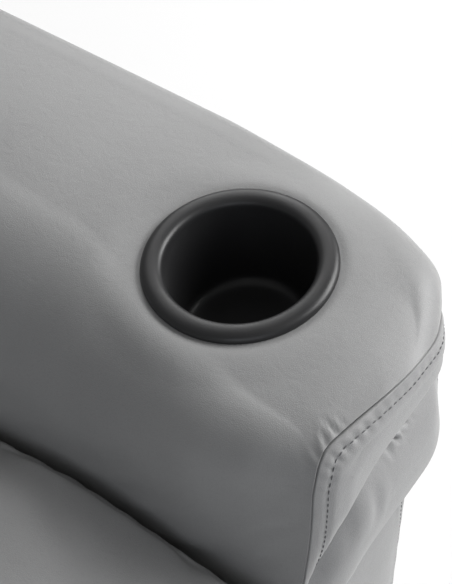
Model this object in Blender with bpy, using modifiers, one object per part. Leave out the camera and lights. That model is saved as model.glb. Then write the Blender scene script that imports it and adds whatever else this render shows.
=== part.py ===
"""A manual recliner chair: overstuffed arms with cup holders, a lever-driven footrest and a reclining back.

The chair faces -Y and stands on Z = 0. Lengths are in metres. Below, "forward" means -Y, and a place
is written as (x, forward, up). The steel mechanism lies in thin layers beside the seat, the same at
both sides, and each link carries its own rivets.
"""

import math

import bmesh
import bpy
from mathutils import Matrix, Vector

# Clearances and finenesses
FIT = 0.0003          # between pieces that touch
RUNNING = 0.0005      # round a pin in its hole
OVERRUN = 0.004       # how far a cut runs past what it cuts
MERGE = 0.00001
PIN_SIDES = 12
CAP_STEPS = 5
TURNED_STEPS = 24
SMALL_STEPS = 16

# Base and arms
ARM_INNER = 0.2725        # inner face of the wooden arm, low down beside the mechanism
ARM_INNER_HIGH = 0.300    # inner face of the wooden arm above the mechanism
ARM_OUTER = 0.455         # outer face of the wooden arm
ARM_FRONT = 0.380
ARM_REAR = -0.330
ARM_FOOT_HEIGHT = 0.050
ARM_TOP = 0.540
BOARD = 0.018             # plywood of the arms
TIMBER_EDGE = 0.003       # rounding of the edges of boards and rails
POST = 0.060              # solid blocks at the arm's front and rear
PANEL_INNER = 0.2625      # inner leather face of the arm
PAD_INNER = 0.2720
SIDE_PANEL = 0.0200       # thickness of the padded panel on the arm's outer side
PAD_OUTER = ARM_OUTER + SIDE_PANEL
PAD_FRONT = 0.4250
PAD_REAR = -0.3600
PAD_TOP = 0.6250
CORNER_MOST_SHARE = 0.6   # of a padded piece's half size, the most that a corner takes up
PAD_CORNER = 0.030
PAD_CROWN = 0.006
PAD_SIDE_DROP = 0.010     # how far the crown falls to the pad's two long edges
PAD_NOSE = 0.062          # how far the pad's outer front corner is rounded off, seen from above
PAD_NOSE_START = 0.270
PAD_INNER_LEAN = 0.020    # how far the pad's top edge leans back from the seat
PILLOW_FRONT = 0.4220
PILLOW_BULGE = 0.012
PILLOW_CORNER = 0.022
PILLOW_BOTTOM = 0.058
PILLOW_SHORT = 0.0090     # by which the front pillow stops short of the pad's outer side
PILLOW_OUTER = PAD_OUTER - PILLOW_SHORT
PILLOW_TUCK_HEIGHT = 0.388  # the pillow's stuffed roll ends here, above a flatter lower panel
PILLOW_TUCK = 0.018       # depth of the tuck below the roll
PILLOW_RECESS = 0.013     # how far the lower panel lies behind the roll
PILLOW_ROLL_EDGE = 0.030  # height over which the roll turns into the tuck
PILLOW_NOSE = 0.015       # how far the pillow's outer edge is drawn back
PANEL_SHORT = 0.012       # by which side panels stop short of the arm's ends
PANEL_CORNER = 0.007

# Cup holder
CUP_FORWARD = 0.305
CUP_OFFSET = 0.0035       # by which the cup lies outward of the pad's middle
CUP_X = (PAD_INNER + PAD_OUTER) / 2 + CUP_OFFSET
CUP_LIP_HEIGHT = 0.621
CUP_LIP_RADIUS = 0.0560
CUP_MOUTH_RADIUS = 0.0440
CUP_FLOOR_RADIUS = 0.0360
CUP_DEPTH = 0.057
CUP_WALL = 0.0030
CUP_LIP_ROUND = 0.0050
CUP_SKIRT = 0.0050
CUP_FLOOR_SHARES = (0.90, 0.95)  # of the floor's radius and of the depth, where the floor turns up
LIP_EDGE_SHARE = 0.2      # of the lip's half width, by which its underside draws in
LIP_UNDER_SHARE = 0.4     # of the lip's rise, down to its underside
LIP_SEAT_SHARE = 0.5      # of the lip's rise, down to where the lip rests on the pad
CUP_TILT_IN = math.radians(4.0)
CUP_TILT_BACK = math.radians(3.0)

# Rails, feet
RAIL_THICK = 0.022
RAIL_BOTTOM = 0.055
FRONT_RAIL_HEIGHT = 0.080
REAR_RAIL_HEIGHT = 0.070
REAR_RAIL_PLACE = -0.325
FOOT_RADIUS = 0.027
FOOT_SOLE_RADIUS = 0.022

# Mechanism: plates in layers, counted inwards from the side plate
PLATE = 0.0030
LAYER_GAP = 0.0010
LAYER_OUTER = 0.2640
SIDE_PLATE, SHORT, CROSS, LONG, OUTER, ROD, HANGER, SEAT_SIDE = range(8)
PIN = 0.0040
HEAD = 0.0070
HEAD_THICK = 0.0022
LINK_HALF = 0.0100
LONG_HALF = 0.0120
OUTER_HALF = 0.0085
ROD_HALF = 0.0080
BOSS = 0.0110
MECHANISM_MARGIN = 0.0160
CRANK_WIDTH_SHARE = 1.1   # of a link's width
BRACKET_WIDTH_SHARE = 1.2

# Mechanism: pivots, as (forward, up), with the chair at rest
LONG_PIVOT = (0.3300, 0.3150)
RAIL_BEHIND_LINK = 0.2900  # from the front rail's rear face forward to the long link's pivot
PIVOT_SPACING = 0.1100
LINK_BACK = 0.1220        # a long link's lower end lies this far behind its pivot
LINK_DROP = 0.2300        # and this far below it
CROSS_REACH = 0.1720      # from the long link forward to the footrest
CROSS_RISE = 0.1470
FOOTREST_PIVOTS = 0.0700  # between the two pivots of the footrest bracket
SHAFT_BELOW_LINK = 0.0750  # heights of the other pivots, from the long link's pivot
HANGER_OVER_LINK = 0.0100
BACK_OVER_LINK = 0.0150
SHAFT = (0.0200, LONG_PIVOT[1] - SHAFT_BELOW_LINK)
SHAFT_RADIUS = 0.0090
CRANK_LENGTH = 0.0650
BACK_PIVOT = (-0.2400, LONG_PIVOT[1] + BACK_OVER_LINK)
HANGER_PIVOT = (0.1000, LONG_PIVOT[1] + HANGER_OVER_LINK)
HANGER_LENGTH = 0.0900
STEP_CLEARANCE = 0.0060   # from the top of the side plate up to the step in the arm's inner face
ARM_STEP_HEIGHT = max(LONG_PIVOT[1], BACK_PIVOT[1], HANGER_PIVOT[1]) + MECHANISM_MARGIN + STEP_CLEARANCE

# Lever
LEVER_LENGTH = 0.150
LEVER_HUB = 0.0190
LEVER_NECK = 0.0120
LEVER_TIP = 0.0165
LEVER_THICK = 0.0120
LEVER_DROOP = math.radians(14.0)
LEVER_ROUND = 0.0025
LEVER_GRIP = 0.0080       # how far the shaft reaches into the lever
COLLAR_RADIUS = 0.0280
COLLAR_THICK = 0.0040
COLLAR_SLEEVE = 0.0120
COLLAR_SLEEVE_RADIUS = 0.0125
LEVER_GAP = 0.0030

# Seat
SEAT_HALF = 0.2590
SEAT_FRONT = 0.4450
SEAT_REAR = -0.1650
SEAT_CROWN = 0.0180
SEAT_CORNER = 0.034
SEAT_BULGE = 0.0080
SEAT_PINCH = 0.0030
SEAT_FALL_SHARE = 0.5     # of the crown, by which the cushion's top falls to its front edge
FRAME_OVER_LINK = 0.0200  # from the long link's pivot up to the top of the seat frame
SEAT_FRAME_TOP = LONG_PIVOT[1] + FRAME_OVER_LINK
SEAT_OVER_FRAME = 0.1650  # from the top of the seat frame up to the cushion's edges
SEAT_TOP = SEAT_FRAME_TOP + SEAT_OVER_FRAME
SEAT_RAIL = 0.0400
SEAT_FRAME_FRONT = 0.3350
SEAT_FRAME_REAR = -0.1650
SPRING_WIRE = 0.0019
SPRING_WAVES = 6
SPRING_POINTS = 8
SPRING_SWING = 0.0220
SPRING_LOOP = 0.0070
SPRING_SPACING = 0.1500
SPRING_END = 0.0120

# Footrest
BOARD_AHEAD = 0.0700      # from the long link's pivot forward to the footrest board
BOARD_BACK = LONG_PIVOT[0] + BOARD_AHEAD
BOARD_THICK = 0.0180
BOARD_BELOW_SEAT = 0.0050  # from the top of the seat frame down to the board's top edge
BOARD_TOP = SEAT_FRAME_TOP - BOARD_BELOW_SEAT
BOARD_BOTTOM = 0.0500
BOARD_HALF = 0.2600
FOOTREST_THICK = 0.0420
FOOTREST_CROWN = 0.0100
FOOTREST_CORNER = 0.018
FOOTREST_CHANNEL = 0.0070
CHANNEL_WIDTH_SHARE = 0.22  # of the pad's half height, to either side of the channel's middle
FRONT_FACE_SHARE = 0.9    # of the pad's half thickness, past which a point is on the front face
FOOTREST_OVERHANG = 0.0030
FLANGE = 0.0300

# Back, measured along and across its own lean
BACK_LEAN = math.radians(12.0)
BACK_HALF = 0.2367        # half width of the wooden back frame
BACK_FRAME_REAR = 0.0050
BACK_FRAME_FRONT = 0.0450
BACK_FOOT = -0.0200
BACK_HEIGHT = 0.6500
STILE = 0.0460
FLAP_THICK = 0.0160
FLAP_TOP = 0.1500
LUMBAR_BOTTOM = 0.1550
UPPER_BOTTOM = 0.3230
HEAD_BOTTOM = 0.5150
HEAD_TOP = 0.7250
LUMBAR_HALF = 0.2560
CUSHION_FRONT = 0.1600
CUSHION_BULGE = 0.0220
CUSHION_CORNER = 0.0360
CUSHION_PINCH = 0.0060    # by which sides draw in between corners
CUSHION_SPLIT = 0.0010
FULLER_SHARES = {"lumbar_cushion": 0.0, "upper_back_cushion": 0.3, "headrest_cushion": 0.6}  # of the bulge
BOLSTER_OUTER = 0.3000
BOLSTER_FRONT = 0.1450
BOLSTER_REAR = -0.0300
BOLSTER_TOP = 0.6900
BOLSTER_OVER_ARM = 0.0240
BOLSTER_BOTTOM = (PAD_TOP + BOLSTER_OVER_ARM - BACK_PIVOT[1]) / math.cos(BACK_LEAN)
BOLSTER_CORNER = 0.0240
BACK_PANEL_THICK = 0.0400
BACK_PANEL_HALF = 0.2350
BACK_PANEL_BOTTOM = -0.0250
BACK_PANEL_TOP = 0.7000
BACK_LEDGE = 0.0080       # between the frame's top and the padding over it
BRACKET_REACH = 0.1600

FINISHES = {
    "leather": ((0.300, 0.300, 0.305), 0.50, 0.0),
    "plastic": ((0.012, 0.012, 0.014), 0.42, 0.0),
    "steel": ((0.030, 0.030, 0.032), 0.45, 0.9),
    "wood": ((0.480, 0.330, 0.190), 0.65, 0.0),
    "spring_steel": ((0.350, 0.350, 0.360), 0.35, 1.0),
}


# Scene, collections and materials

for old in list(bpy.data.objects):
    bpy.data.objects.remove(old, do_unlink=True)

PARTS = bpy.data.collections.new("Recliner chair")
CUTTERS = bpy.data.collections.new("Cutters")
bpy.context.scene.collection.children.link(PARTS)
bpy.context.scene.collection.children.link(CUTTERS)


def finish(obj, kind):
    """Give an object its own material of one of the chair's finishes."""
    colour, roughness, metallic = FINISHES[kind]
    material = bpy.data.materials.new(obj.name + "_" + kind)
    material.use_nodes = True
    shader = material.node_tree.nodes["Principled BSDF"]
    shader.inputs["Base Color"].default_value = (*colour, 1.0)
    shader.inputs["Roughness"].default_value = roughness
    shader.inputs["Metallic"].default_value = metallic
    material.diffuse_color = (*colour, 1.0)
    obj.data.materials.clear()
    obj.data.materials.append(material)


# Bodies: an empty on each joint's axis, under one empty for the whole chair

chair = bpy.data.objects.new("chair", None)
PARTS.objects.link(chair)
ZERO = {}


def body(name, pivot, lean=0.0, zero=None):
    """An empty at a pivot (forward, up). Its pieces are given in coordinates that start at zero."""
    empty = bpy.data.objects.new(name, None)
    PARTS.objects.link(empty)
    empty.parent = chair
    empty.location = (0.0, -pivot[0], pivot[1])
    empty.rotation_euler = (-lean, 0.0, 0.0)
    ZERO[name] = pivot if zero is None else zero
    return empty


def plus(point, forward, up):
    return (point[0] + forward, point[1] + up)


LONG_END = plus(LONG_PIVOT, -LINK_BACK, -LINK_DROP)
SHORT_PIVOT = plus(LONG_PIVOT, -PIVOT_SPACING, 0.0)
SHORT_END = plus(LONG_END, -PIVOT_SPACING, 0.0)
FOOT_LOW = plus(LONG_END, CROSS_REACH, CROSS_RISE)
FOOT_HIGH = plus(FOOT_LOW, 0.0, FOOTREST_PIVOTS)
OUTER_END = plus(LONG_END, 0.0, FOOTREST_PIVOTS)
LINK_LENGTH = math.hypot(LINK_BACK, LINK_DROP)
CRANK_STEP = (-LINK_BACK * CRANK_LENGTH / LINK_LENGTH, -LINK_DROP * CRANK_LENGTH / LINK_LENGTH)
CRANK_END = plus(SHAFT, *CRANK_STEP)
ROD_END = plus(LONG_PIVOT, *CRANK_STEP)
SEAT_HINGE = plus(BACK_PIVOT, 0.0, -HANGER_LENGTH)
HANGER_END = plus(HANGER_PIVOT, 0.0, -HANGER_LENGTH)

base = body("base_origin", (0.0, 0.0))
drive = body("drive_axis", SHAFT)
rod = body("drive_rod_axis", CRANK_END)
long_link = body("long_link_axis", LONG_PIVOT)
short_link = body("short_link_axis", SHORT_PIVOT)
cross_link = body("cross_link_axis", LONG_END)
outer_link = body("outer_link_axis", OUTER_END)
footrest = body("footrest_axis", FOOT_LOW)
seat = body("seat_axis", SEAT_HINGE)
hanger = body("front_hanger_axis", HANGER_PIVOT)
back = body("backrest_axis", BACK_PIVOT, BACK_LEAN, (0.0, 0.0))


def hold(obj, owner, x, forward, up):
    """Parent a piece to a body, at a place in that body's coordinates."""
    obj.parent = owner
    zero = ZERO[owner.name]
    obj.location = (x, zero[0] - forward, up - zero[1])


def object_of(name, mesh, collection=PARTS):
    obj = bpy.data.objects.new(name, mesh)
    collection.objects.link(obj)
    return obj


def mesh_of(name, bm):
    mesh = bpy.data.meshes.new(name)
    bm.to_mesh(mesh)
    bm.free()
    return mesh


def boolean(obj, other, operation):
    """Cut other out of obj, or join it on. The other object stays with the cutters."""
    modifier = obj.modifiers.new(operation.lower() + "_" + other.name, "BOOLEAN")
    modifier.operation = operation
    modifier.solver = "EXACT"
    modifier.object = other
    other.hide_render = True
    other.display_type = "WIRE"


# Solids that many pieces start from

def box(name, owner, low, high, kind, bevel=0.0):
    """A box between two places (x, forward, up), with rounded edges if a bevel is given."""
    middle = [(a + b) / 2 for a, b in zip(low, high)]
    bm = bmesh.new()
    bmesh.ops.create_cube(bm, size=1.0)
    bmesh.ops.scale(bm, vec=[abs(b - a) for a, b in zip(low, high)], verts=bm.verts)
    obj = object_of(name, mesh_of(name, bm))
    if bevel:
        rounding = obj.modifiers.new("rounded_edges", "BEVEL")
        rounding.width = bevel
        rounding.segments = 1
    hold(obj, owner, *middle)
    finish(obj, kind)
    return obj


def rod_cutter(name, parent, radius, length, place, turn=(0.0, 0.0, 0.0), sides=PIN_SIDES):
    """A round bar along its own Z, kept with the cutters and parented to the piece that it works on."""
    bm = bmesh.new()
    bmesh.ops.create_cone(
        bm, cap_ends=True, segments=sides, radius1=radius, radius2=radius, depth=length
    )
    obj = object_of(name, mesh_of(name, bm), CUTTERS)
    obj.parent = parent
    obj.location = place
    obj.rotation_euler = turn
    return obj


def extruded(loops, thickness):
    """A flat outline with its holes, as a 2D curve extruded by half its thickness and welded shut."""
    curve = bpy.data.curves.new("outline", "CURVE")
    curve.dimensions = "2D"
    curve.fill_mode = "BOTH"
    curve.extrude = thickness / 2
    for loop in loops:
        spline = curve.splines.new("POLY")
        spline.points.add(len(loop) - 1)
        for point, (u, v) in zip(spline.points, loop):
            point.co = (u, v, 0.0, 1.0)
        spline.use_cyclic_u = True
    shape = object_of("outline", curve, CUTTERS)
    mesh = bpy.data.meshes.new_from_object(
        shape.evaluated_get(bpy.context.evaluated_depsgraph_get())
    )
    bpy.data.objects.remove(shape)
    bpy.data.curves.remove(curve)
    bm = bmesh.new()
    bm.from_mesh(mesh)
    bmesh.ops.remove_doubles(bm, verts=bm.verts, dist=MERGE)
    bmesh.ops.recalc_face_normals(bm, faces=bm.faces)
    bm.to_mesh(mesh)
    bm.free()
    return mesh


def ring(centre, radius, count=PIN_SIDES):
    angles = [math.tau * i / count for i in range(count)]
    return [(centre[0] + radius * math.cos(a), centre[1] + radius * math.sin(a)) for a in angles]


def hull(circles):
    """The outline of a band stretched round circles, each a centre and a radius."""
    points = sorted({p for centre, radius in circles for p in ring(centre, radius, 2 * CAP_STEPS + 2)})

    def half(ordered):
        kept = []
        for p in ordered:
            while len(kept) > 1:
                (ax, ay), (bx, by) = kept[-2:]
                if (bx - ax) * (p[1] - ay) - (by - ay) * (p[0] - ax) > 0.0:
                    break
                kept.pop()
            kept.append(p)
        return kept[:-1]

    return half(points) + half(points[::-1])


def bar(path, half_width):
    """The outline of a flat bar with round ends and mitred bends, along a path of pivots."""
    path = [Vector(p) for p in path]

    def cap(centre, along):
        start = math.atan2(along.y, along.x) - math.pi / 2
        angles = [start + math.pi * k / CAP_STEPS for k in range(CAP_STEPS + 1)]
        return [centre + half_width * Vector((math.cos(a), math.sin(a))) for a in angles]

    right, left = [], []
    for before, point, after in zip(path, path[1:], path[2:]):
        first, last = (point - before).normalized(), (after - point).normalized()
        along = (first + last).normalized()
        across = Vector((along.y, -along.x))
        reach = across * half_width / across.dot(Vector((first.y, -first.x)))
        right.append(point + reach)
        left.append(point - reach)
    outline = cap(path[0], path[0] - path[1]) + right + cap(path[-1], path[-1] - path[-2]) + left[::-1]
    return [tuple(p) for p in outline]


# The steel mechanism

SIDES = {"left": 1.0, "right": -1.0}
PLATE_TURN = Matrix(((0, 0, -1), (-1, 0, 0), (0, 1, 0))).to_euler()


def layer(index):
    """Distance of a layer's middle from the chair's middle."""
    return LAYER_OUTER - index * (PLATE + LAYER_GAP) - PLATE / 2


def bore(points, centre):
    """Outlines of the holes at these pivots, measured from centre."""
    radius = (PIN + RUNNING) / math.cos(math.pi / PIN_SIDES)
    return [ring((p[0] - centre[0], p[1] - centre[1]), radius) for p in points]


def plate(name, owner, side, index, outline, holes=(), centre=None, extra=()):
    """A flat steel piece in one layer. Its outline is in the body's coordinates (forward, up)."""
    centre = ZERO[owner.name] if centre is None else centre
    loops = [[(u - centre[0], v - centre[1]) for u, v in outline]] + bore(holes, centre) + list(extra)
    obj = object_of(name, extruded(loops, PLATE))
    hold(obj, owner, SIDES[side] * layer(index), *centre)
    obj.rotation_euler = PLATE_TURN
    finish(obj, "steel")
    return obj


def rivet(obj, side, index, point, to_layer, centre=(0.0, 0.0), head=False):
    """A pin fused to a link in one layer, through the hole of another. A head lies past that plate."""
    u, v = point[0] - centre[0], point[1] - centre[1]
    outward = 1.0 if to_layer < index else -1.0
    far = (index - to_layer) * (PLATE + LAYER_GAP) + outward * PLATE / 2
    if head:
        far += outward * FIT * 2
    turned = -SIDES[side]
    label = obj.name + "_pin_" + str(len(obj.modifiers))
    pin = rod_cutter(label, obj, PIN, abs(far), (u, v, turned * far / 2))
    boolean(obj, pin, "UNION")
    if head:
        start = (index - to_layer) * (PLATE + LAYER_GAP) + outward * (PLATE / 2 + FIT)
        middle = start + outward * HEAD_THICK / 2
        cap = rod_cutter(label + "_head", obj, HEAD, HEAD_THICK, (u, v, turned * middle))
        boolean(obj, cap, "UNION")


def side_plates(side):
    """The fixed plate that the whole mechanism hangs on, with bosses that seat it on the wooden arm."""
    m = MECHANISM_MARGIN
    outline = [
        plus(BACK_PIVOT, -m, m / 2),
        plus(BACK_PIVOT, -m / 2, m),
        plus(HANGER_PIVOT, -m, m),
        plus(HANGER_PIVOT, m, m),
        plus(SHORT_PIVOT, 0.0, m),
        plus(LONG_PIVOT, m / 2, m),
        plus(LONG_PIVOT, m, m / 2),
        plus(LONG_PIVOT, m, -m / 2),
        plus(LONG_PIVOT, m / 2, -m),
        plus(SHORT_PIVOT, -m, -m),
        plus(SHAFT, 3 * m, m),
        plus(SHAFT, m, -m / 2),
        plus(SHAFT, m / 2, -m),
        plus(SHAFT, -m / 2, -m),
        plus(SHAFT, -m, -m / 2),
        plus(SHAFT, -3 * m, 3 * m),
        plus(BACK_PIVOT, m, -m),
        plus(BACK_PIVOT, -m / 2, -m),
        plus(BACK_PIVOT, -m, -m / 2),
    ]
    pivots = [BACK_PIVOT, HANGER_PIVOT, SHORT_PIVOT, LONG_PIVOT]
    hole = ring(SHAFT, (SHAFT_RADIUS + RUNNING) / math.cos(math.pi / SMALL_STEPS), SMALL_STEPS)
    obj = plate("side_plate_" + side, base, side, SIDE_PLATE, outline, pivots, extra=[hole])
    length = ARM_INNER - FIT - layer(SIDE_PLATE)
    places = [
        plus(BACK_PIVOT, 4 * m, 0.0),
        plus(SHAFT, 0.0, 4 * m),
        plus(SHORT_PIVOT, PIVOT_SPACING / 2, 0.0),
    ]
    for number, place in enumerate(places):
        boss = rod_cutter(
            f"boss_{side}_{number}", obj, BOSS, length, (*place, -SIDES[side] * length / 2)
        )
        boolean(obj, boss, "UNION")


def links(side):
    """The moving links of one side."""
    obj = plate(
        "long_link_" + side, long_link, side, LONG,
        hull([(LONG_PIVOT, LONG_HALF), (LONG_END, LINK_HALF), (OUTER_END, LINK_HALF)]),
    )
    rivet(obj, side, LONG, LONG_PIVOT, SIDE_PLATE, LONG_PIVOT, head=True)
    rivet(obj, side, LONG, LONG_END, CROSS, LONG_PIVOT)
    rivet(obj, side, LONG, OUTER_END, OUTER, LONG_PIVOT)
    rivet(obj, side, LONG, ROD_END, ROD, LONG_PIVOT)

    obj = plate("short_link_" + side, short_link, side, SHORT, bar([SHORT_PIVOT, SHORT_END], LINK_HALF))
    rivet(obj, side, SHORT, SHORT_PIVOT, SIDE_PLATE, SHORT_PIVOT, head=True)
    rivet(obj, side, SHORT, SHORT_END, CROSS, SHORT_PIVOT)

    obj = plate(
        "cross_link_" + side, cross_link, side, CROSS,
        bar([SHORT_END, LONG_END, FOOT_LOW], LINK_HALF), [SHORT_END, LONG_END],
    )
    rivet(obj, side, CROSS, FOOT_LOW, LONG, LONG_END)

    shape = bar([OUTER_END, FOOT_HIGH], OUTER_HALF)
    obj = plate("outer_link_" + side, outer_link, side, OUTER, shape, [OUTER_END])
    rivet(obj, side, OUTER, FOOT_HIGH, LONG, OUTER_END)

    plate("drive_rod_" + side, rod, side, ROD, bar([CRANK_END, ROD_END], ROD_HALF), [CRANK_END, ROD_END])

    obj = plate("front_hanger_" + side, hanger, side, HANGER, bar([HANGER_PIVOT, HANGER_END], LINK_HALF))
    rivet(obj, side, HANGER, HANGER_PIVOT, SIDE_PLATE, HANGER_PIVOT, head=True)
    rivet(obj, side, HANGER, HANGER_END, SEAT_SIDE, HANGER_PIVOT)


def footrest_brackets(side):
    """The plate at each end of the footrest, with a flange that is screwed to the board."""
    front = BOARD_BACK - FIT
    m = LINK_HALF
    outline = [
        plus(FOOT_LOW, -m, -m / 2),
        plus(FOOT_LOW, -m / 2, -m),
        (front, FOOT_LOW[1] - 2 * m),
        (front, FOOT_HIGH[1] + 2 * m),
        plus(FOOT_HIGH, -m / 2, m),
        plus(FOOT_HIGH, -m, m / 2),
    ]
    obj = plate("footrest_bracket_" + side, footrest, side, LONG, outline, [FOOT_LOW, FOOT_HIGH])
    length = FOOTREST_PIVOTS + 4 * m
    bm = bmesh.new()
    bmesh.ops.create_cube(bm, size=1.0)
    bmesh.ops.scale(bm, vec=(PLATE, length, FLANGE), verts=bm.verts)
    flange = object_of("flange_" + side, mesh_of("flange", bm), CUTTERS)
    flange.parent = obj
    inwards = SIDES[side] * (FLANGE - PLATE) / 2
    flange.location = (front - PLATE / 2 - FOOT_LOW[0], FOOTREST_PIVOTS / 2, inwards)
    boolean(obj, flange, "UNION")


def seat_brackets(side):
    """The side member of the seat frame, hung on the hanger and on the back, arching over the shaft."""
    m = MECHANISM_MARGIN
    low = SEAT_FRAME_TOP - SEAT_RAIL
    outline = [
        (SEAT_FRAME_REAR, SEAT_FRAME_TOP),
        (SEAT_FRAME_REAR, SEAT_HINGE[1] + 2 * m),
        plus(SEAT_HINGE, m, LINK_HALF * BRACKET_WIDTH_SHARE),
        plus(SEAT_HINGE, -LINK_HALF / 2, LINK_HALF),
        plus(SEAT_HINGE, -LINK_HALF, LINK_HALF / 2),
        plus(SEAT_HINGE, -LINK_HALF, -LINK_HALF / 2),
        plus(SEAT_HINGE, -LINK_HALF / 2, -LINK_HALF),
        plus(SEAT_HINGE, 5 * m, -LINK_HALF),
        (SEAT_FRAME_REAR + SEAT_RAIL, low),
        (HANGER_END[0] - 2 * m, low),
        plus(HANGER_END, -LINK_HALF, 0.0),
        plus(HANGER_END, -LINK_HALF / 2, -LINK_HALF),
        plus(HANGER_END, LINK_HALF / 2, -LINK_HALF),
        plus(HANGER_END, LINK_HALF, 0.0),
        (HANGER_END[0] + 2 * m, low),
        (SEAT_FRAME_FRONT, low),
        (SEAT_FRAME_FRONT, SEAT_FRAME_TOP),
    ]
    plate("seat_bracket_" + side, seat, side, SEAT_SIDE, outline, [SEAT_HINGE, HANGER_END])


def back_brackets(side):
    """The plate that joins the back frame to its pivot and to the rear of the seat."""
    lean = Vector((-math.sin(BACK_LEAN), -math.cos(BACK_LEAN))) * HANGER_LENGTH
    low = (lean.x, lean.y)
    middle = (BACK_FRAME_REAR + BACK_FRAME_FRONT) / 2
    path = [low, (0.0, 0.0), (middle, MECHANISM_MARGIN * 3), (middle, BRACKET_REACH)]
    obj = plate("back_bracket_" + side, back, side, HANGER, bar(path, LONG_HALF))
    rivet(obj, side, HANGER, (0.0, 0.0), SIDE_PLATE, head=True)
    rivet(obj, side, HANGER, low, SEAT_SIDE)


# Drive shaft, lever and collar

LEVER_INNER = -(PAD_OUTER + FIT + COLLAR_THICK + LEVER_GAP)


def drive_shaft():
    """The cross shaft with a welded crank at each side."""
    right_end = LEVER_INNER - LEVER_GRIP
    left_end = LAYER_OUTER + HEAD_THICK
    length = left_end - right_end
    bm = bmesh.new()
    bmesh.ops.create_cone(
        bm, cap_ends=True, segments=SMALL_STEPS,
        radius1=SHAFT_RADIUS, radius2=SHAFT_RADIUS, depth=length,
    )
    bmesh.ops.rotate(bm, verts=bm.verts, matrix=Matrix.Rotation(math.pi / 2, 3, "Y"))
    middle = (left_end + right_end) / 2
    bmesh.ops.translate(bm, verts=bm.verts, vec=(middle, 0.0, 0.0))
    obj = object_of("drive_shaft", mesh_of("drive_shaft", bm))
    hold(obj, drive, 0.0, *SHAFT)
    finish(obj, "steel")
    for side, sign in SIDES.items():
        outline = bar([(0.0, 0.0), CRANK_STEP], LINK_HALF * CRANK_WIDTH_SHARE)
        crank = object_of("crank_" + side, extruded([outline], PLATE), CUTTERS)
        crank.parent = obj
        crank.location = (sign * layer(OUTER), 0.0, 0.0)
        crank.rotation_euler = PLATE_TURN
        boolean(obj, crank, "UNION")
        far = layer(OUTER) - layer(ROD) + PLATE / 2
        pin = rod_cutter(
            "crank_pin_" + side, obj, PIN, far,
            (sign * (layer(OUTER) - far / 2), -CRANK_STEP[0], CRANK_STEP[1]),
            (0.0, math.pi / 2, 0.0),
        )
        boolean(obj, pin, "UNION")


def release_lever():
    """The hand lever outside the right arm: a hub and a tapering paddle, bored for the shaft."""
    direction = (math.cos(LEVER_DROOP), -math.sin(LEVER_DROOP))
    along = [(direction[0] * d, direction[1] * d) for d in (0.0, LEVER_LENGTH / 2, LEVER_LENGTH)]
    outline = hull([(along[0], LEVER_HUB), (along[1], LEVER_NECK), (along[2], LEVER_TIP)])
    obj = object_of("release_lever", extruded([outline], LEVER_THICK))
    hold(obj, drive, LEVER_INNER - LEVER_THICK / 2, *SHAFT)
    obj.rotation_euler = PLATE_TURN
    rounding = obj.modifiers.new("rounded_edges", "BEVEL")
    rounding.width = LEVER_ROUND
    rounding.segments = 2
    depth = LEVER_GRIP + FIT
    radius = (SHAFT_RADIUS + FIT) / math.cos(math.pi / SMALL_STEPS)
    middle = (depth - OVERRUN - LEVER_THICK) / 2
    hole = rod_cutter("lever_bore", obj, radius, depth + OVERRUN, (0.0, 0.0, middle), sides=SMALL_STEPS)
    boolean(obj, hole, "DIFFERENCE")
    finish(obj, "plastic")


def turned(name, profile, closed=False, steps=TURNED_STEPS, collection=PARTS):
    """A turned solid from a profile of (radius, height), which runs down its outer side."""
    mesh = bpy.data.meshes.new(name)
    count = len(profile)
    edges = [(i, i + 1) for i in range(count - 1)] + ([(count - 1, 0)] if closed else [])
    mesh.from_pydata([(r, 0.0, z) for r, z in profile], edges, [])
    obj = object_of(name, mesh, collection)
    screw = obj.modifiers.new("turned", "SCREW")
    screw.steps = steps
    screw.render_steps = steps
    screw.use_merge_vertices = True
    screw.merge_threshold = MERGE
    screw.use_smooth_shade = True
    return obj


def lever_collar():
    """The plastic bush in the right arm's outer side, where the shaft comes out."""
    inner = (SHAFT_RADIUS + RUNNING) / math.cos(math.pi / SMALL_STEPS)
    profile = [
        (inner, COLLAR_THICK),
        (COLLAR_RADIUS - COLLAR_THICK / 2, COLLAR_THICK),
        (COLLAR_RADIUS, COLLAR_THICK / 2),
        (COLLAR_RADIUS, 0.0),
        (COLLAR_SLEEVE_RADIUS, 0.0),
        (COLLAR_SLEEVE_RADIUS, -COLLAR_SLEEVE),
        (inner, -COLLAR_SLEEVE),
    ]
    obj = turned("lever_collar", profile, closed=True, steps=SMALL_STEPS)
    hold(obj, base, -(PAD_OUTER + FIT), *SHAFT)
    obj.rotation_euler = (0.0, -math.pi / 2, 0.0)
    finish(obj, "plastic")


# Base: wooden arms, rails and feet

def arm_frame(side):
    """A plywood arm: stepped on the inside, hollow from below, with solid blocks at both ends."""
    sign = SIDES[side]
    depth = ARM_FRONT - ARM_REAR

    def section(inset, foot):
        high = sign * (ARM_INNER_HIGH + inset)
        step = ARM_STEP_HEIGHT - inset
        points = [
            (sign * (ARM_INNER + inset), foot), (sign * (ARM_OUTER - inset), foot),
            (sign * (ARM_OUTER - inset), ARM_TOP - inset), (high, ARM_TOP - inset),
            (high, step), (sign * (ARM_INNER + inset), step),
        ]
        return points[::-1] if sign < 0 else points

    obj = object_of("arm_frame_" + side, extruded([section(0.0, ARM_FOOT_HEIGHT)], depth))
    hold(obj, base, 0.0, (ARM_FRONT + ARM_REAR) / 2, 0.0)
    obj.rotation_euler = (math.pi / 2, 0.0, 0.0)
    hollow = object_of(
        "arm_hollow_" + side,
        extruded([section(BOARD, ARM_FOOT_HEIGHT - OVERRUN)], depth - 2 * POST), CUTTERS,
    )
    hollow.parent = obj
    boolean(obj, hollow, "DIFFERENCE")
    finish(obj, "wood")
    return obj


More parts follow.
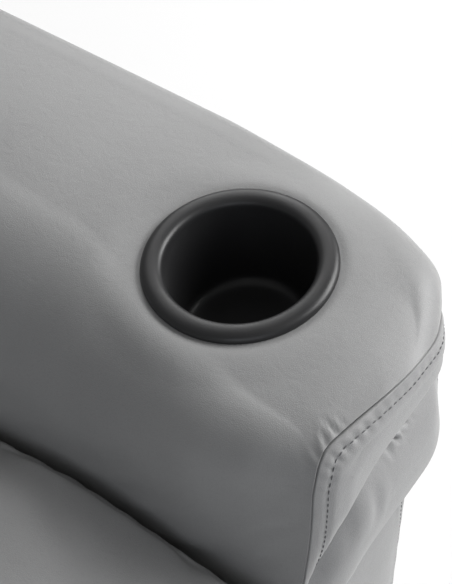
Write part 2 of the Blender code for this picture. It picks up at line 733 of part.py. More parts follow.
def shaft_hole(obj, low, high, radius):
    """A hole for the lever shaft through a piece of the right arm, from x = -high to -low."""
    around = radius / math.cos(math.pi / SMALL_STEPS)
    place = (-(low + high) / 2, -SHAFT[0], SHAFT[1])
    across = (0.0, math.pi / 2, 0.0)
    length = high - low + 2 * OVERRUN
    cutter = rod_cutter(obj.name + "_shaft_hole", base, around, length, place, across, SMALL_STEPS)
    boolean(obj, cutter, "DIFFERENCE")


def rails_and_feet():
    half = ARM_INNER - FIT
    for name, place, height in (
        ("front_rail", LONG_PIVOT[0] - RAIL_BEHIND_LINK, FRONT_RAIL_HEIGHT),
        ("rear_rail", REAR_RAIL_PLACE, REAR_RAIL_HEIGHT),
    ):
        low = (-half, place, RAIL_BOTTOM)
        high = (half, place + RAIL_THICK, RAIL_BOTTOM + height)
        box(name, base, low, high, "wood", TIMBER_EDGE)
    height = ARM_FOOT_HEIGHT - FIT
    profile = [
        (0.0, height), (FOOT_RADIUS, height), (FOOT_SOLE_RADIUS, FOOT_RADIUS - FOOT_SOLE_RADIUS),
        (FOOT_SOLE_RADIUS - TIMBER_EDGE, 0.0), (0.0, 0.0),
    ]
    middle = (ARM_INNER + ARM_OUTER) / 2
    for side, sign in SIDES.items():
        for end, forward in (("front", ARM_FRONT - POST / 2), ("rear", ARM_REAR + POST / 2)):
            obj = turned(f"foot_{end}_{side}", profile, steps=SMALL_STEPS)
            hold(obj, base, sign * middle, forward, 0.0)
            finish(obj, "plastic")


# Soft pieces

def cushion(name, owner, low, high, cells, corner, bulge, pinch=0.0, shape=None, rows=None):
    """A padded piece between two places: a cage with tight rows at its edges and drawn-in sides,
    smoothed by subdivision. Its sides, front and top swell by the three values of bulge. A shape
    function may move the cage's points, and rows gives the heights of the cage's rows."""
    middle = [(a + b) / 2 for a, b in zip(low, high)]
    half = [abs(b - a) / 2 for a, b in zip(low, high)]
    bm = bmesh.new()
    bmesh.ops.create_cube(bm, size=2.0)
    for axis, count in enumerate(cells):
        along = [e for e in bm.edges if abs((e.verts[0].co - e.verts[1].co)[axis]) > 1.0]
        bmesh.ops.subdivide_edges(bm, edges=along, cuts=count - 1, use_grid_fill=True)
    for vert in bm.verts:
        share = Vector()
        for axis, count in enumerate(cells):
            index = round((vert.co[axis] + 1.0) / 2 * count)
            edge = min(corner / half[axis], CORNER_MOST_SHARE)
            inner = (index - 1) / (count - 2) if count > 2 else 0.5
            share[axis] = -1.0 if index == 0 else 1.0 if index == count else (2 * inner - 1.0) * (1.0 - edge)
            if rows and axis == 2:
                share[axis] = (rows[index] - middle[axis]) / half[axis]
        rise = [1.0 - s * s for s in share]
        place = Vector()
        for axis in range(3):
            other = [rise[i] for i in range(3) if i != axis]
            swells = (True, share.y < 0.0, share.z > 0.0)[axis]
            drawn = pinch * (1.0 - other[0] * other[1]) * max(other) * (axis < 2)
            crown = bulge[axis] * other[0] * other[1]
            place[axis] = share[axis] * (half[axis] + (crown - drawn) * swells)
        if shape:
            place = shape(share, place)
        vert.co = place
    obj = object_of(name, mesh_of(name, bm))
    rounding = obj.modifiers.new("rounded", "SUBSURF")
    rounding.levels = 1
    rounding.render_levels = 1
    obj.data.shade_smooth()
    hold(obj, owner, *middle)
    finish(obj, "leather")
    return obj


def cup_turn(side):
    return Matrix.Rotation(CUP_TILT_BACK, 3, "X").inverted() @ Matrix.Rotation(
        -SIDES[side] * CUP_TILT_IN, 3, "Y"
    )


def arm_pad(side):
    """The overstuffed pad along the arm's top, its outer front corner rounded off in plan, with a well."""
    sign = SIDES[side]
    half_depth = (PAD_FRONT - PAD_REAR) / 2
    start = PAD_NOSE_START - (PAD_FRONT + PAD_REAR) / 2

    def shape(share, place):
        outward = sign * share.x
        forward = -place.y
        if share.z > 0.0:
            place.z -= PAD_SIDE_DROP * share.z * abs(share.x) ** 3
            if outward < 0.0:
                place.x += sign * PAD_INNER_LEAN * share.z * share.x ** 2
        if forward > start and outward > 0.0:
            reach = (forward - start) / (half_depth - start)
            place.x -= sign * PAD_NOSE * outward ** 2 * reach ** 2
        return place

    inner, outer = sorted((sign * PAD_INNER, sign * PAD_OUTER))
    obj = cushion(
        "arm_pad_" + side, base, (inner, PAD_REAR, ARM_TOP + FIT), (outer, PAD_FRONT, PAD_TOP),
        (5, 9, 3), PAD_CORNER, (0.0, 0.0, PAD_CROWN / 2), 0.0, shape,
    )
    wide, narrow = CUP_LIP_RADIUS + 3 * FIT, CUP_MOUTH_RADIUS + CUP_WALL
    high, under, deep = PAD_TOP - ARM_TOP, -CUP_LIP_ROUND * LIP_SEAT_SHARE - 2 * FIT, ARM_TOP - PAD_TOP
    profile = [(0.0, high), (wide, high), (wide, under), (narrow, under), (narrow, deep), (0.0, deep)]
    well = turned("cup_well_" + side, profile, collection=CUTTERS)
    hold(well, base, sign * CUP_X, CUP_FORWARD, CUP_LIP_HEIGHT)
    well.rotation_euler = cup_turn(side).to_euler()
    boolean(obj, well, "DIFFERENCE")
    return obj


def cup_holder(side):
    """A moulded cup with a thick rounded lip, a tapered wall and a foot ring under its floor."""
    outer_wall = CUP_MOUTH_RADIUS + CUP_WALL - FIT * 4
    across, down = CUP_FLOOR_SHARES
    profile = [
        (0.0, -CUP_DEPTH), (CUP_FLOOR_RADIUS * across, -CUP_DEPTH), (CUP_FLOOR_RADIUS, -CUP_DEPTH * down),
        (CUP_MOUTH_RADIUS, -CUP_LIP_ROUND * LIP_UNDER_SHARE),
    ]
    middle = (CUP_MOUTH_RADIUS + CUP_LIP_RADIUS) / 2
    half = (CUP_LIP_RADIUS - CUP_MOUTH_RADIUS) / 2
    for k in range(1, CAP_STEPS + 1):
        angle = math.pi * (1.0 - k / CAP_STEPS)
        profile.append((middle + half * math.cos(angle), CUP_LIP_ROUND * math.sin(angle)))
    profile += [
        (CUP_LIP_RADIUS - half * LIP_EDGE_SHARE, -CUP_LIP_ROUND * LIP_UNDER_SHARE),
        (outer_wall, -CUP_LIP_ROUND * LIP_SEAT_SHARE),
        (CUP_FLOOR_RADIUS + CUP_WALL, -CUP_DEPTH - CUP_SKIRT),
        (CUP_FLOOR_RADIUS, -CUP_DEPTH - CUP_SKIRT),
        (CUP_FLOOR_RADIUS - CUP_WALL, -CUP_DEPTH - CUP_WALL),
        (0.0, -CUP_DEPTH - CUP_WALL),
    ]
    obj = turned("cup_holder_" + side, profile)
    hold(obj, base, SIDES[side] * CUP_X, CUP_FORWARD, CUP_LIP_HEIGHT)
    obj.rotation_euler = cup_turn(side).to_euler()
    finish(obj, "plastic")


def arm_covers(side):
    """The padded panels and the front pillow round the wooden arm."""
    sign = SIDES[side]

    def panel(name, near, far, bottom):
        low_x, high_x = sorted((sign * near, sign * far))
        return cushion(
            name + side, base,
            (low_x, ARM_REAR + PANEL_SHORT, bottom), (high_x, ARM_FRONT - FIT, ARM_TOP - FIT),
            (2, 4, 3), PANEL_CORNER, (0.0, 0.0, 0.0),
        )

    panel("arm_inner_panel_", PANEL_INNER, ARM_INNER_HIGH - FIT, ARM_STEP_HEIGHT + PANEL_CORNER)
    outer = panel("arm_outer_panel_", ARM_OUTER + FIT, PAD_OUTER, PILLOW_BOTTOM)
    low_x, high_x = sorted((sign * PAD_INNER, sign * PILLOW_OUTER))
    top = ARM_TOP - FIT
    rows = (
        PILLOW_BOTTOM, PILLOW_BOTTOM + PILLOW_CORNER, PILLOW_TUCK_HEIGHT - PILLOW_ROLL_EDGE,
        PILLOW_TUCK_HEIGHT, PILLOW_TUCK_HEIGHT + PILLOW_ROLL_EDGE, (PILLOW_TUCK_HEIGHT + top) / 2,
        top - PILLOW_CORNER, top,
    )

    rear = (PILLOW_FRONT - ARM_FRONT - FIT) / 2

    def shape(share, place):
        """The stuffed roll above, its tuck, and the flatter panel below; the outer edge drawn back."""
        height = place.z + (PILLOW_BOTTOM + top) / 2
        back = PILLOW_NOSE * max(sign * share.x, 0.0) ** 3
        if abs(height - PILLOW_TUCK_HEIGHT) < FIT:
            back += PILLOW_TUCK
        elif height < PILLOW_TUCK_HEIGHT:
            back += PILLOW_RECESS
        place.y += (rear - place.y) * back / (2 * rear)
        return place

    cushion(
        "arm_front_pillow_" + side, base,
        (low_x, ARM_FRONT + FIT, PILLOW_BOTTOM), (high_x, PILLOW_FRONT, top),
        (4, 3, 7), PILLOW_CORNER, (0.0, PILLOW_BULGE, 0.0), 0.0, shape, rows,
    )
    return outer


# Seat

def seat_pieces():
    half = layer(SEAT_SIDE) - PLATE / 2 - FIT
    low, high = SEAT_FRAME_TOP - SEAT_RAIL, SEAT_FRAME_TOP
    front_rail = SEAT_FRAME_FRONT - SEAT_RAIL
    rear_rail = SEAT_FRAME_REAR + SEAT_RAIL
    for name, near, far in (
        ("seat_rail_front", front_rail, SEAT_FRAME_FRONT), ("seat_rail_rear", SEAT_FRAME_REAR, rear_rail),
    ):
        box(name, seat, (-half, near, low), (half, far, high), "wood", TIMBER_EDGE)
    for number in range(3):
        seat_spring(number + 1, (number - 1) * SPRING_SPACING, rear_rail, front_rail)
    bottom = SEAT_FRAME_TOP + 2 * SPRING_WIRE + 2 * FIT

    def shape(share, place):
        if share.z > 0.0:
            fall = max(-share.y, 0.0) ** 4
            place.z -= SEAT_CROWN * SEAT_FALL_SHARE * fall
        return place

    cushion(
        "seat_cushion", seat, (-SEAT_HALF, SEAT_REAR, bottom), (SEAT_HALF, SEAT_FRONT, SEAT_TOP),
        (6, 6, 3), SEAT_CORNER, (0.0, SEAT_BULGE, SEAT_CROWN), SEAT_PINCH, shape,
    )


def seat_spring(number, x, rear, front):
    """A sinuous spring: wire bent in a meander, from rail to rail. Prints its least gap to itself."""
    span = front - rear
    up = SEAT_FRAME_TOP + SPRING_WIRE + FIT
    points = [(0.0, rear - SPRING_END)]
    count = SPRING_WAVES * SPRING_POINTS
    for i in range(count + 1):
        turn = math.tau * SPRING_WAVES * i / count
        ahead = span * i / count - SPRING_LOOP * math.sin(2 * turn)
        points.append((SPRING_SWING * math.sin(turn), rear + ahead))
    points.append((0.0, front + SPRING_END))
    apart = [
        math.dist(points[i], points[j])
        for i in range(len(points)) for j in range(i + SPRING_POINTS // 2, len(points))
    ]
    print(f"seat_spring_{number}: least gap to itself {1000 * (min(apart) - 2 * SPRING_WIRE):.2f} mm")
    curve = bpy.data.curves.new(f"seat_spring_{number}", "CURVE")
    curve.dimensions = "3D"
    curve.bevel_depth = SPRING_WIRE
    curve.bevel_resolution = 1
    curve.use_fill_caps = True
    spline = curve.splines.new("POLY")
    spline.points.add(len(points) - 1)
    middle = (rear + front) / 2
    for point, (across, forward) in zip(spline.points, points):
        point.co = (across, middle - forward, 0.0, 1.0)
    obj = object_of(f"seat_spring_{number}", curve)
    hold(obj, seat, x, middle, up)
    finish(obj, "spring_steel")


# Footrest

def footrest_pieces():
    low = (-BOARD_HALF, BOARD_BACK, BOARD_BOTTOM)
    high = (BOARD_HALF, BOARD_BACK + BOARD_THICK, BOARD_TOP)
    box("footrest_board", footrest, low, high, "wood", TIMBER_EDGE)
    over = FOOTREST_OVERHANG

    def shape(share, place):
        groove = math.exp(-((share.z / CHANNEL_WIDTH_SHARE) ** 2))
        if share.y < -FRONT_FACE_SHARE:
            place.y += FOOTREST_CHANNEL * groove
        return place

    cushion(
        "footrest_pad", footrest,
        (-BOARD_HALF - over, BOARD_BACK + BOARD_THICK + FIT, BOARD_BOTTOM - over),
        (BOARD_HALF + over, BOARD_BACK + BOARD_THICK + FOOTREST_THICK, BOARD_TOP + over),
        (4, 3, 7), FOOTREST_CORNER, (0.0, FOOTREST_CROWN, 0.0), 0.0, shape,
    )


# Back

def back_pieces():
    rear, front = BACK_FRAME_REAR, BACK_FRAME_FRONT
    for side, sign in SIDES.items():
        inner, outer = sorted((sign * (BACK_HALF - STILE), sign * BACK_HALF))
        low, high = (inner, rear, BACK_FOOT), (outer, front, BACK_HEIGHT)
        box("back_stile_" + side, back, low, high, "wood", TIMBER_EDGE)
    half = BACK_HALF - STILE - FIT
    for name, bottom in (("back_rail_low", BACK_FOOT + STILE), ("back_rail_high", BACK_HEIGHT - STILE)):
        box(name, back, (-half, rear, bottom), (half, front, bottom + STILE), "wood", TIMBER_EDGE)
    start = front + FIT
    cushion(
        "back_flap", back, (-BACK_HALF + PANEL_CORNER, start, BACK_FOOT),
        (BACK_HALF - PANEL_CORNER, start + FLAP_THICK, FLAP_TOP),
        (4, 2, 3), PANEL_CORNER, (0.0, 0.0, 0.0),
    )
    pillow_half = BACK_HALF - CUSHION_SPLIT
    tiers = (
        ("lumbar_cushion", LUMBAR_BOTTOM, UPPER_BOTTOM - CUSHION_SPLIT, LUMBAR_HALF),
        ("upper_back_cushion", UPPER_BOTTOM, HEAD_BOTTOM - CUSHION_SPLIT, pillow_half),
        ("headrest_cushion", HEAD_BOTTOM, HEAD_TOP, pillow_half),
    )
    for name, bottom, top, width in tiers:
        forward = CUSHION_FRONT + CUSHION_BULGE * FULLER_SHARES[name]
        cushion(
            name, back, (-width, start, bottom), (width, forward, top),
            (5, 3, 4), CUSHION_CORNER, (0.0, CUSHION_BULGE, 0.0), CUSHION_PINCH,
        )
    for side, sign in SIDES.items():
        inner, outer = sorted((sign * (BACK_HALF + FIT), sign * BOLSTER_OUTER))
        cushion(
            "back_bolster_" + side, back, (inner, BOLSTER_REAR, BOLSTER_BOTTOM),
            (outer, BOLSTER_FRONT, BOLSTER_TOP),
            (3, 3, 4), BOLSTER_CORNER, (0.0, 0.0, 0.0),
        )
    ledge = BACK_HEIGHT + BACK_LEDGE
    rows = (
        BACK_PANEL_BOTTOM, BACK_PANEL_BOTTOM + BOLSTER_CORNER, (BACK_PANEL_BOTTOM + ledge) / 2,
        ledge - 2 * BACK_LEDGE, ledge - BACK_LEDGE, ledge, ledge + BACK_LEDGE,
        BACK_PANEL_TOP - BOLSTER_CORNER / 2, BACK_PANEL_TOP,
    )

    def over_the_top(share, place):
        """Above the frame the panel's front face comes forward to the headrest."""
        if share.y < 0.0 and place.z > ledge + BACK_LEDGE / 2 - (BACK_PANEL_BOTTOM + BACK_PANEL_TOP) / 2:
            place.y -= front - rear - FIT
        return place

    cushion(
        "back_outer_panel", back, (-BACK_PANEL_HALF, rear - FIT - BACK_PANEL_THICK, BACK_PANEL_BOTTOM),
        (BACK_PANEL_HALF, rear - FIT, BACK_PANEL_TOP),
        (4, 3, 8), BOLSTER_CORNER, (0.0, 0.0, 0.0), 0.0, over_the_top, rows,
    )


# The whole chair

for side_name in SIDES:
    wooden = arm_frame(side_name)
    side_plates(side_name)
    links(side_name)
    footrest_brackets(side_name)
    seat_brackets(side_name)
    back_brackets(side_name)
    arm_pad(side_name)
    cup_holder(side_name)
    cover = arm_covers(side_name)
    if side_name == "right":
        shaft_hole(wooden, ARM_INNER, ARM_OUTER, SHAFT_RADIUS + RUNNING)
        shaft_hole(cover, ARM_OUTER, PAD_OUTER, COLLAR_SLEEVE_RADIUS + FIT)
drive_shaft()
release_lever()
lever_collar()
rails_and_feet()
seat_pieces()
footrest_pieces()
back_pieces()


def centre_on_floor():
    """Move the chair so that the middle of its outline stands on the world's origin."""
    graph = bpy.context.evaluated_depsgraph_get()
    graph.update()
    corners = []
    for obj in PARTS.objects:
        if obj.type == "EMPTY":
            continue
        seen = obj.evaluated_get(graph)
        mesh = seen.to_mesh()
        corners += [seen.matrix_world @ v.co for v in mesh.vertices]
        seen.to_mesh_clear()
    for axis in range(3):
        low = min(c[axis] for c in corners)
        high = max(c[axis] for c in corners)
        chair.location[axis] = -(low + high) / 2 if axis < 2 else -low


centre_on_floor()
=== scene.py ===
# %% [markdown]
# # A leather recliner, dressed over its CAD frame
#
# The CAD model brings the mechanism, the wooden frame and plain solids for the soft parts. This
# script builds what the eye sees: leather skins with seams, stuffed cushions, moulded cup holders,
# thread and materials. Everything is in metres in the CAD's own frame, and the arm beside the
# camera is drawn in millimetres round the middle of its cup holder.

# %% Imports and the CAD frame
import math

import bmesh
import bpy
import numpy as np
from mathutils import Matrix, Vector
from mathutils.kdtree import KDTree


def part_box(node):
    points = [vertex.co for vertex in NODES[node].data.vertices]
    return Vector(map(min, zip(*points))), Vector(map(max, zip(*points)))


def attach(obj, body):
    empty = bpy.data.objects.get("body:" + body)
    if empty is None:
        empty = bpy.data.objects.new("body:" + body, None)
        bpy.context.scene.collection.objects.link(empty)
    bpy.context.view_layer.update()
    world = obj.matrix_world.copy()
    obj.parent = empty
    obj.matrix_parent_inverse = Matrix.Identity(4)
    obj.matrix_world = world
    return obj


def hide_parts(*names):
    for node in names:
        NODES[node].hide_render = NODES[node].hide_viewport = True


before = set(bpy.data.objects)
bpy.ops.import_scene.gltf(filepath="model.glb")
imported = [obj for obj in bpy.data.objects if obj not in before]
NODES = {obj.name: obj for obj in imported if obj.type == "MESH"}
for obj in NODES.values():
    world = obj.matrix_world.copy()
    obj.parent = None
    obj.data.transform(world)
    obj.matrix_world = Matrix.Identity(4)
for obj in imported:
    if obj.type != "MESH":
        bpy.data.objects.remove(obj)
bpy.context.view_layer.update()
MM = 0.001

cup_low, cup_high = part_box("cup_holder_left")
seat_low, seat_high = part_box("seat_cushion")
MIDDLE_X = (seat_low[0] + seat_high[0]) / 2
CUP_LIP_HEIGHT = 0.621
CUP = np.array([(cup_low[0] + cup_high[0]) / 2, (cup_low[1] + cup_high[1]) / 2, CUP_LIP_HEIGHT])
print("chair's middle x", round(MIDDLE_X, 5), "cup holder's middle", CUP.round(4))

# %% [markdown]
# ## Small tools
#
# Smooth tables of numbers describe most shapes here. A table could be joined by straight lines,
# which leaves creases, or by a plain cubic, which overshoots. A monotone cubic does neither, so it
# serves for every profile and outline.

# %% Tools for numbers


def step(x, low, high):
    """0 below low, 1 above high and smooth between them."""
    t = np.clip((np.asarray(x, float) - low) / (high - low), 0.0, 1.0)
    return t * t * (3.0 - 2.0 * t)


def bell(x, width=1.0):
    """1 at zero, and falling away to both sides over about a width."""
    return np.exp(-((x / width) ** 2))


def cubic(t, start, end, leaving, arriving, span):
    """A cubic from start to end, with its slopes at both, read at shares t of its span."""
    ends = start * (1 + 2 * t) * (1 - t) ** 2 + end * t * t * (3 - 2 * t)
    return ends + span * (leaving * t * (1 - t) ** 2 - arriving * t * t * (1 - t))


def table(x, rows):
    """A monotone cubic through (x, y) rows, read at x, and level past both ends."""
    xs, ys = (np.array(column, float) for column in zip(*rows))
    gaps = np.diff(xs)
    slopes = np.diff(ys) / gaps
    tangents = np.zeros_like(xs)
    for i in range(1, len(xs) - 1):
        if slopes[i - 1] * slopes[i] > 0.0:
            a, b = 2.0 * gaps[i] + gaps[i - 1], gaps[i] + 2.0 * gaps[i - 1]
            tangents[i] = (a + b) / (a / slopes[i - 1] + b / slopes[i])
    x = np.clip(np.asarray(x, float), xs[0], xs[-1])
    i = np.clip(np.searchsorted(xs, x, side="right") - 1, 0, len(xs) - 2)
    return cubic((x - xs[i]) / gaps[i], ys[i], ys[i + 1], tangents[i], tangents[i + 1], gaps[i])


def lengths_along(points):
    """Each point's distance along a line of points."""
    return np.r_[0.0, np.cumsum(np.linalg.norm(np.diff(points, axis=0), axis=1))]


def spaced(points, count):
    """The same line with count points at equal distances."""
    points = np.asarray(points, float)
    along = lengths_along(points)
    wanted = np.linspace(0.0, along[-1], count)
    return np.stack([np.interp(wanted, along, column) for column in points.T], axis=1)


def smooth_line(points, count):
    """A rounded line through points, read at count equal steps of its length."""
    points = np.asarray(points, float)
    along = lengths_along(points)
    pieces = []
    for i in range(len(points) - 1):
        before, after = points[max(i - 1, 0)], points[min(i + 2, len(points) - 1)]
        span = along[i + 1] - along[i]
        start = (points[i + 1] - before) / max(along[i + 1] - along[max(i - 1, 0)], 1e-9)
        end = (after - points[i]) / max(along[min(i + 2, len(points) - 1)] - along[i], 1e-9)
        t = np.linspace(0.0, 1.0, 16, endpoint=False)[:, None]
        pieces.append(cubic(t, points[i], points[i + 1], start, end, span))
    return spaced(np.concatenate([*pieces, points[-1:]]), count)


def unit(vectors):
    """Vectors at length one."""
    return vectors / np.maximum(np.linalg.norm(vectors, axis=-1, keepdims=True), 1e-12)


def grid_normals(points):
    """The normals of a grid of places [row, column, 3]."""
    return unit(np.cross(np.gradient(points, axis=1), np.gradient(points, axis=0)))


# %% Tools for meshes


def linked(name, data):
    """A new object over this data, in the scene."""
    obj = bpy.data.objects.new(name, data)
    bpy.context.scene.collection.objects.link(obj)
    return obj


def new_object(name, vertices, faces):
    """A smooth mesh object from places and faces."""
    mesh = bpy.data.meshes.new(name)
    mesh.from_pydata(np.asarray(vertices, float).tolist(), [], faces)
    mesh.update()
    mesh.shade_smooth()
    return linked(name, mesh)


def grid_object(name, points, around=False, flip=False, keep=None):
    """A mesh of quads over a grid of places. keep is a test on each quad's middle."""
    rows, columns = points.shape[:2]
    index = np.arange(rows * columns).reshape(rows, columns)
    if around:
        index = np.c_[index, index[:, :1]]
    quads = np.stack([index[:-1, :-1], index[:-1, 1:], index[1:, 1:], index[1:, :-1]], axis=-1).reshape(-1, 4)
    if keep is not None:
        quads = quads[keep(points.reshape(-1, 3)[quads].mean(axis=1))]
    if flip:
        quads = quads[:, ::-1]
    obj = new_object(name, points.reshape(-1, 3), quads.tolist())
    tidy_mesh(obj)
    return obj


def tidy_mesh(obj, reach=1e-6):
    """Merges places that meet and drops loose ones."""
    work = bmesh.new()
    work.from_mesh(obj.data)
    bmesh.ops.remove_doubles(work, verts=work.verts, dist=reach)
    bmesh.ops.delete(work, geom=[v for v in work.verts if not v.link_faces], context="VERTS")
    work.to_mesh(obj.data)
    work.free()
    obj.data.update()


def evaluated_mesh(obj):
    """The object's mesh with its modifiers applied."""
    return bpy.data.meshes.new_from_object(obj.evaluated_get(bpy.context.evaluated_depsgraph_get()))


def mirrored(points):
    """The same places at the chair's other side."""
    other = np.array(points, float)
    other[..., 0] = 2 * MIDDLE_X - other[..., 0]
    return other


def finish_piece(obj, material, body, replaces=()):
    """Gives a piece its material and body, and hides the CAD nodes that it replaces."""
    obj.data.materials.clear()
    obj.data.materials.append(material)
    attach(obj, body)
    if replaces:
        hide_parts(*replaces)
    return obj


def add(tree, kind, links=(), values=None, **properties):
    """Adds a node. links are (input, output) pairs, values are inputs by name or number."""
    node = tree.nodes.new(kind)
    for key, value in properties.items():
        setattr(node, key, value)
    for key, value in (values or {}).items():
        node.inputs[key].default_value = value
    for key, output in links:
        tree.links.new(output, node.inputs[key])
    return node


# %% [markdown]
# ## Materials
#
# The photograph shows polyurethane leather: an even mid grey, a fine pebble grain under a
# millimetre across, shallow creases and a soft gloss. A flat colour would look like putty and a
# strong bump like elephant hide. Here a cell pattern makes the pebbles, one noise makes creases and
# a large one shifts colour and gloss a little, as handling does.

# %% Colour and shader tools


def linear(code):
    """A six-digit sRGB colour as linear red, green, blue and alpha."""
    parts = [int(code[i : i + 2], 16) / 255 for i in (1, 3, 5)]
    return (*[p / 12.92 if p <= 0.04045 else ((p + 0.055) / 1.055) ** 2.4 for p in parts], 1.0)


def new_material(name, colour, roughness, metallic=0.0, ior=1.5):
    """A material with its Principled shader, its tree and its object coordinates."""
    material = bpy.data.materials.new(name)
    material.use_nodes = True
    material.diffuse_color = linear(colour)
    tree = material.node_tree
    shader = tree.nodes["Principled BSDF"]
    shader.inputs["Base Color"].default_value = linear(colour)
    shader.inputs["Roughness"].default_value = roughness
    shader.inputs["Metallic"].default_value = metallic
    shader.inputs["IOR"].default_value = ior
    place = add(tree, "ShaderNodeTexCoord").outputs["Object"]
    return material, tree, shader, place


def plug(shader, colour=None, roughness=None, normal=None):
    """Links what is given to the shader's colour, roughness and normal."""
    for key, output in (("Base Color", colour), ("Roughness", roughness), ("Normal", normal)):
        if output is not None:
            shader.id_data.links.new(output, shader.inputs[key])


def ramp(tree, factor, stops):
    """A colour ramp over (position, colour code) stops."""
    node = add(tree, "ShaderNodeValToRGB", [("Fac", factor)])
    elements = node.color_ramp.elements
    while len(elements) < len(stops):
        elements.new(0.5)
    for element, (position, colour) in zip(elements, stops):
        element.position = position
        element.color = linear(colour)
    return node.outputs["Color"]


def noise(tree, place, size_mm, detail=3.0, roughness=0.5, distortion=0.0):
    """A noise whose blobs are about size_mm across."""
    return add(
        tree, "ShaderNodeTexNoise", [("Vector", place)],
        {"Scale": 1.0 / (size_mm * MM), "Detail": detail, "Roughness": roughness, "Distortion": distortion},
    ).outputs["Fac"]


def spread(tree, value, low, high, to_low, to_high):
    """The value moved from one range to another, held at the ends."""
    return add(
        tree, "ShaderNodeMapRange", [("Value", value)],
        {"From Min": low, "From Max": high, "To Min": to_low, "To Max": to_high},
    ).outputs["Result"]


def tint(tree, colour, factor):
    """A colour multiplied by a factor."""
    return add(
        tree, "ShaderNodeMix", [(6, colour), (7, factor)], {0: 1.0}, data_type="RGBA", blend_type="MULTIPLY"
    ).outputs[2]


def bump(tree, height, strength, depth_mm, normal=None):
    """A bump of a depth in millimetres, over another one if given."""
    links = [("Height", height)] + ([("Normal", normal)] if normal else [])
    return add(
        tree, "ShaderNodeBump", links, {"Strength": strength, "Distance": depth_mm * MM}
    ).outputs["Normal"]


# %% Leather


def leather(name, dark, base, light, roughness=0.44, grain_mm=0.9):
    """Embossed polyurethane leather: pebbles with painted shade in their valleys, pores, soft creases and a
    worn sheen.
    """
    material, tree, shader, place = new_material(name, base, roughness, ior=1.46)
    cells = add(
        tree, "ShaderNodeTexVoronoi", [("Vector", place)],
        {"Scale": 1.0 / (grain_mm * MM), "Randomness": 0.9}, feature="DISTANCE_TO_EDGE",
    ).outputs["Distance"]
    pebbles = spread(tree, cells, 0.0, 0.32, 0.0, 1.0)
    creases = noise(tree, place, 9.0, detail=5.0, roughness=0.6, distortion=0.9)
    handling = noise(tree, place, 90.0)
    colour = ramp(tree, handling, [(0.28, dark), (0.52, base), (0.78, light)])
    # Painted shade: the colour is darkened by up to a tenth in the valleys between the pebbles.
    painted_grain_shade = spread(tree, pebbles, 0.0, 0.5, 0.90, 1.0)
    gloss = spread(tree, handling, 0.3, 0.7, roughness - 0.04, roughness + 0.05)
    grain = bump(tree, pebbles, 0.5, 0.10)
    plug(shader, tint(tree, colour, painted_grain_shade), gloss, bump(tree, creases, 0.35, 0.7, grain))
    return material


GREY_LEATHER = leather("grey_leather", "#939393", "#989898", "#9D9D9D")

# %% [markdown]
# The cup holders are moulded from black plastic with a fine spark-eroded texture, which breaks
# their highlights up. Their lips are rubbed a little smoother by hands and cans.

# %% Moulded plastic


def moulded_plastic(name, colour, roughness):
    """Injection-moulded plastic with a fine matt texture."""
    material, tree, shader, place = new_material(name, colour, roughness, ior=1.49)
    rubbed = noise(tree, place, 25.0, detail=4.0)
    gloss = spread(tree, rubbed, 0.3, 0.7, roughness - 0.06, roughness + 0.08)
    plug(shader, None, gloss, bump(tree, noise(tree, place, 0.6), 0.5, 0.06))
    return material


BLACK_PLASTIC = moulded_plastic("black_plastic", "#262627", 0.40)

# %% [markdown]
# The mechanism is pressed from sheet steel and painted black, so its gloss wavers as an orange's
# peel does. The springs are bare drawn wire. The frame is sawn pine, with its grain along the
# boards, and the thread is a shade darker than the leather.

# %% Steel, wood and thread


def painted_steel(name, dark, light, roughness):
    """Sheet steel under black paint: a faint peel in the bump and dusty patches in the gloss."""
    material, tree, shader, place = new_material(name, light, roughness)
    patches = noise(tree, place, 18.0, detail=3.0)
    gloss = spread(tree, patches, 0.3, 0.7, roughness - 0.06, roughness + 0.1)
    peel = bump(tree, noise(tree, place, 1.6), 0.3, 0.05)
    plug(shader, ramp(tree, patches, [(0.35, dark), (0.7, light)]), gloss, peel)
    return material


def drawn_steel(name, dark, light, roughness):
    """Bare drawn wire with a mottled surface and fine handling marks."""
    material, tree, shader, place = new_material(name, light, roughness, metallic=1.0)
    mottle = noise(tree, place, 6.0, detail=4.0, roughness=0.7)
    gloss = spread(tree, mottle, 0.3, 0.7, roughness - 0.08, roughness + 0.1)
    wear = bump(tree, noise(tree, place, 1.2), 0.25, 0.04)
    plug(shader, ramp(tree, mottle, [(0.3, dark), (0.7, light)]), gloss, wear)
    return material


def sawn_pine(name, dark, light, along):
    """Sawn softwood whose grain runs along one axis."""
    material, tree, shader, place = new_material(name, light, 0.7)
    stretch = [9.0, 9.0, 9.0]
    stretch[along] = 1.0
    fibres = add(tree, "ShaderNodeVectorMath", [(0, place)], {1: stretch}, operation="MULTIPLY").outputs[0]
    rings = add(
        tree, "ShaderNodeTexNoise", [("Vector", fibres)],
        {"Scale": 7.0, "Detail": 6.0, "Roughness": 0.6, "Distortion": 0.6},
    ).outputs["Fac"]
    plug(shader, ramp(tree, rings, [(0.32, dark), (0.68, light)]), normal=bump(tree, rings, 0.4, 0.4))
    return material


def twisted_thread(name, dark, base, light, roughness):
    """Bonded thread, with painted shade between its strands."""
    material, tree, shader, place = new_material(name, base, roughness)
    # Painted shade: a fine noise darkens the thread in spots, as shade between its strands would.
    plug(shader, ramp(tree, noise(tree, place, 0.4), [(0.3, dark), (0.7, light)]))
    return material


PAINTED_STEEL = painted_steel("black_painted_steel", "#2A2A2B", "#343436", 0.42)
SPRING_WIRE = drawn_steel("drawn_spring_wire", "#4A4B4D", "#6C6E70", 0.32)
PINE_ALONG = [sawn_pine(f"sawn_pine_{axis}", "#B08A5C", "#D2B184", k) for k, axis in enumerate("xyz")]
THREAD = twisted_thread("bonded_thread", "#4C4C4F", "#5B5B5E", "#67676A", 0.55)
print("materials", len(bpy.data.materials))

# %% [markdown]
# ## Camera, lamps and floor
#
# The photograph is a close view with a long lens, down onto the arm's cup holder. The ellipse of
# the cup's lip gives the camera's height and its turn. The lamps are large and soft, with the main
# one behind the arm's outer side, as the photograph's shading says.

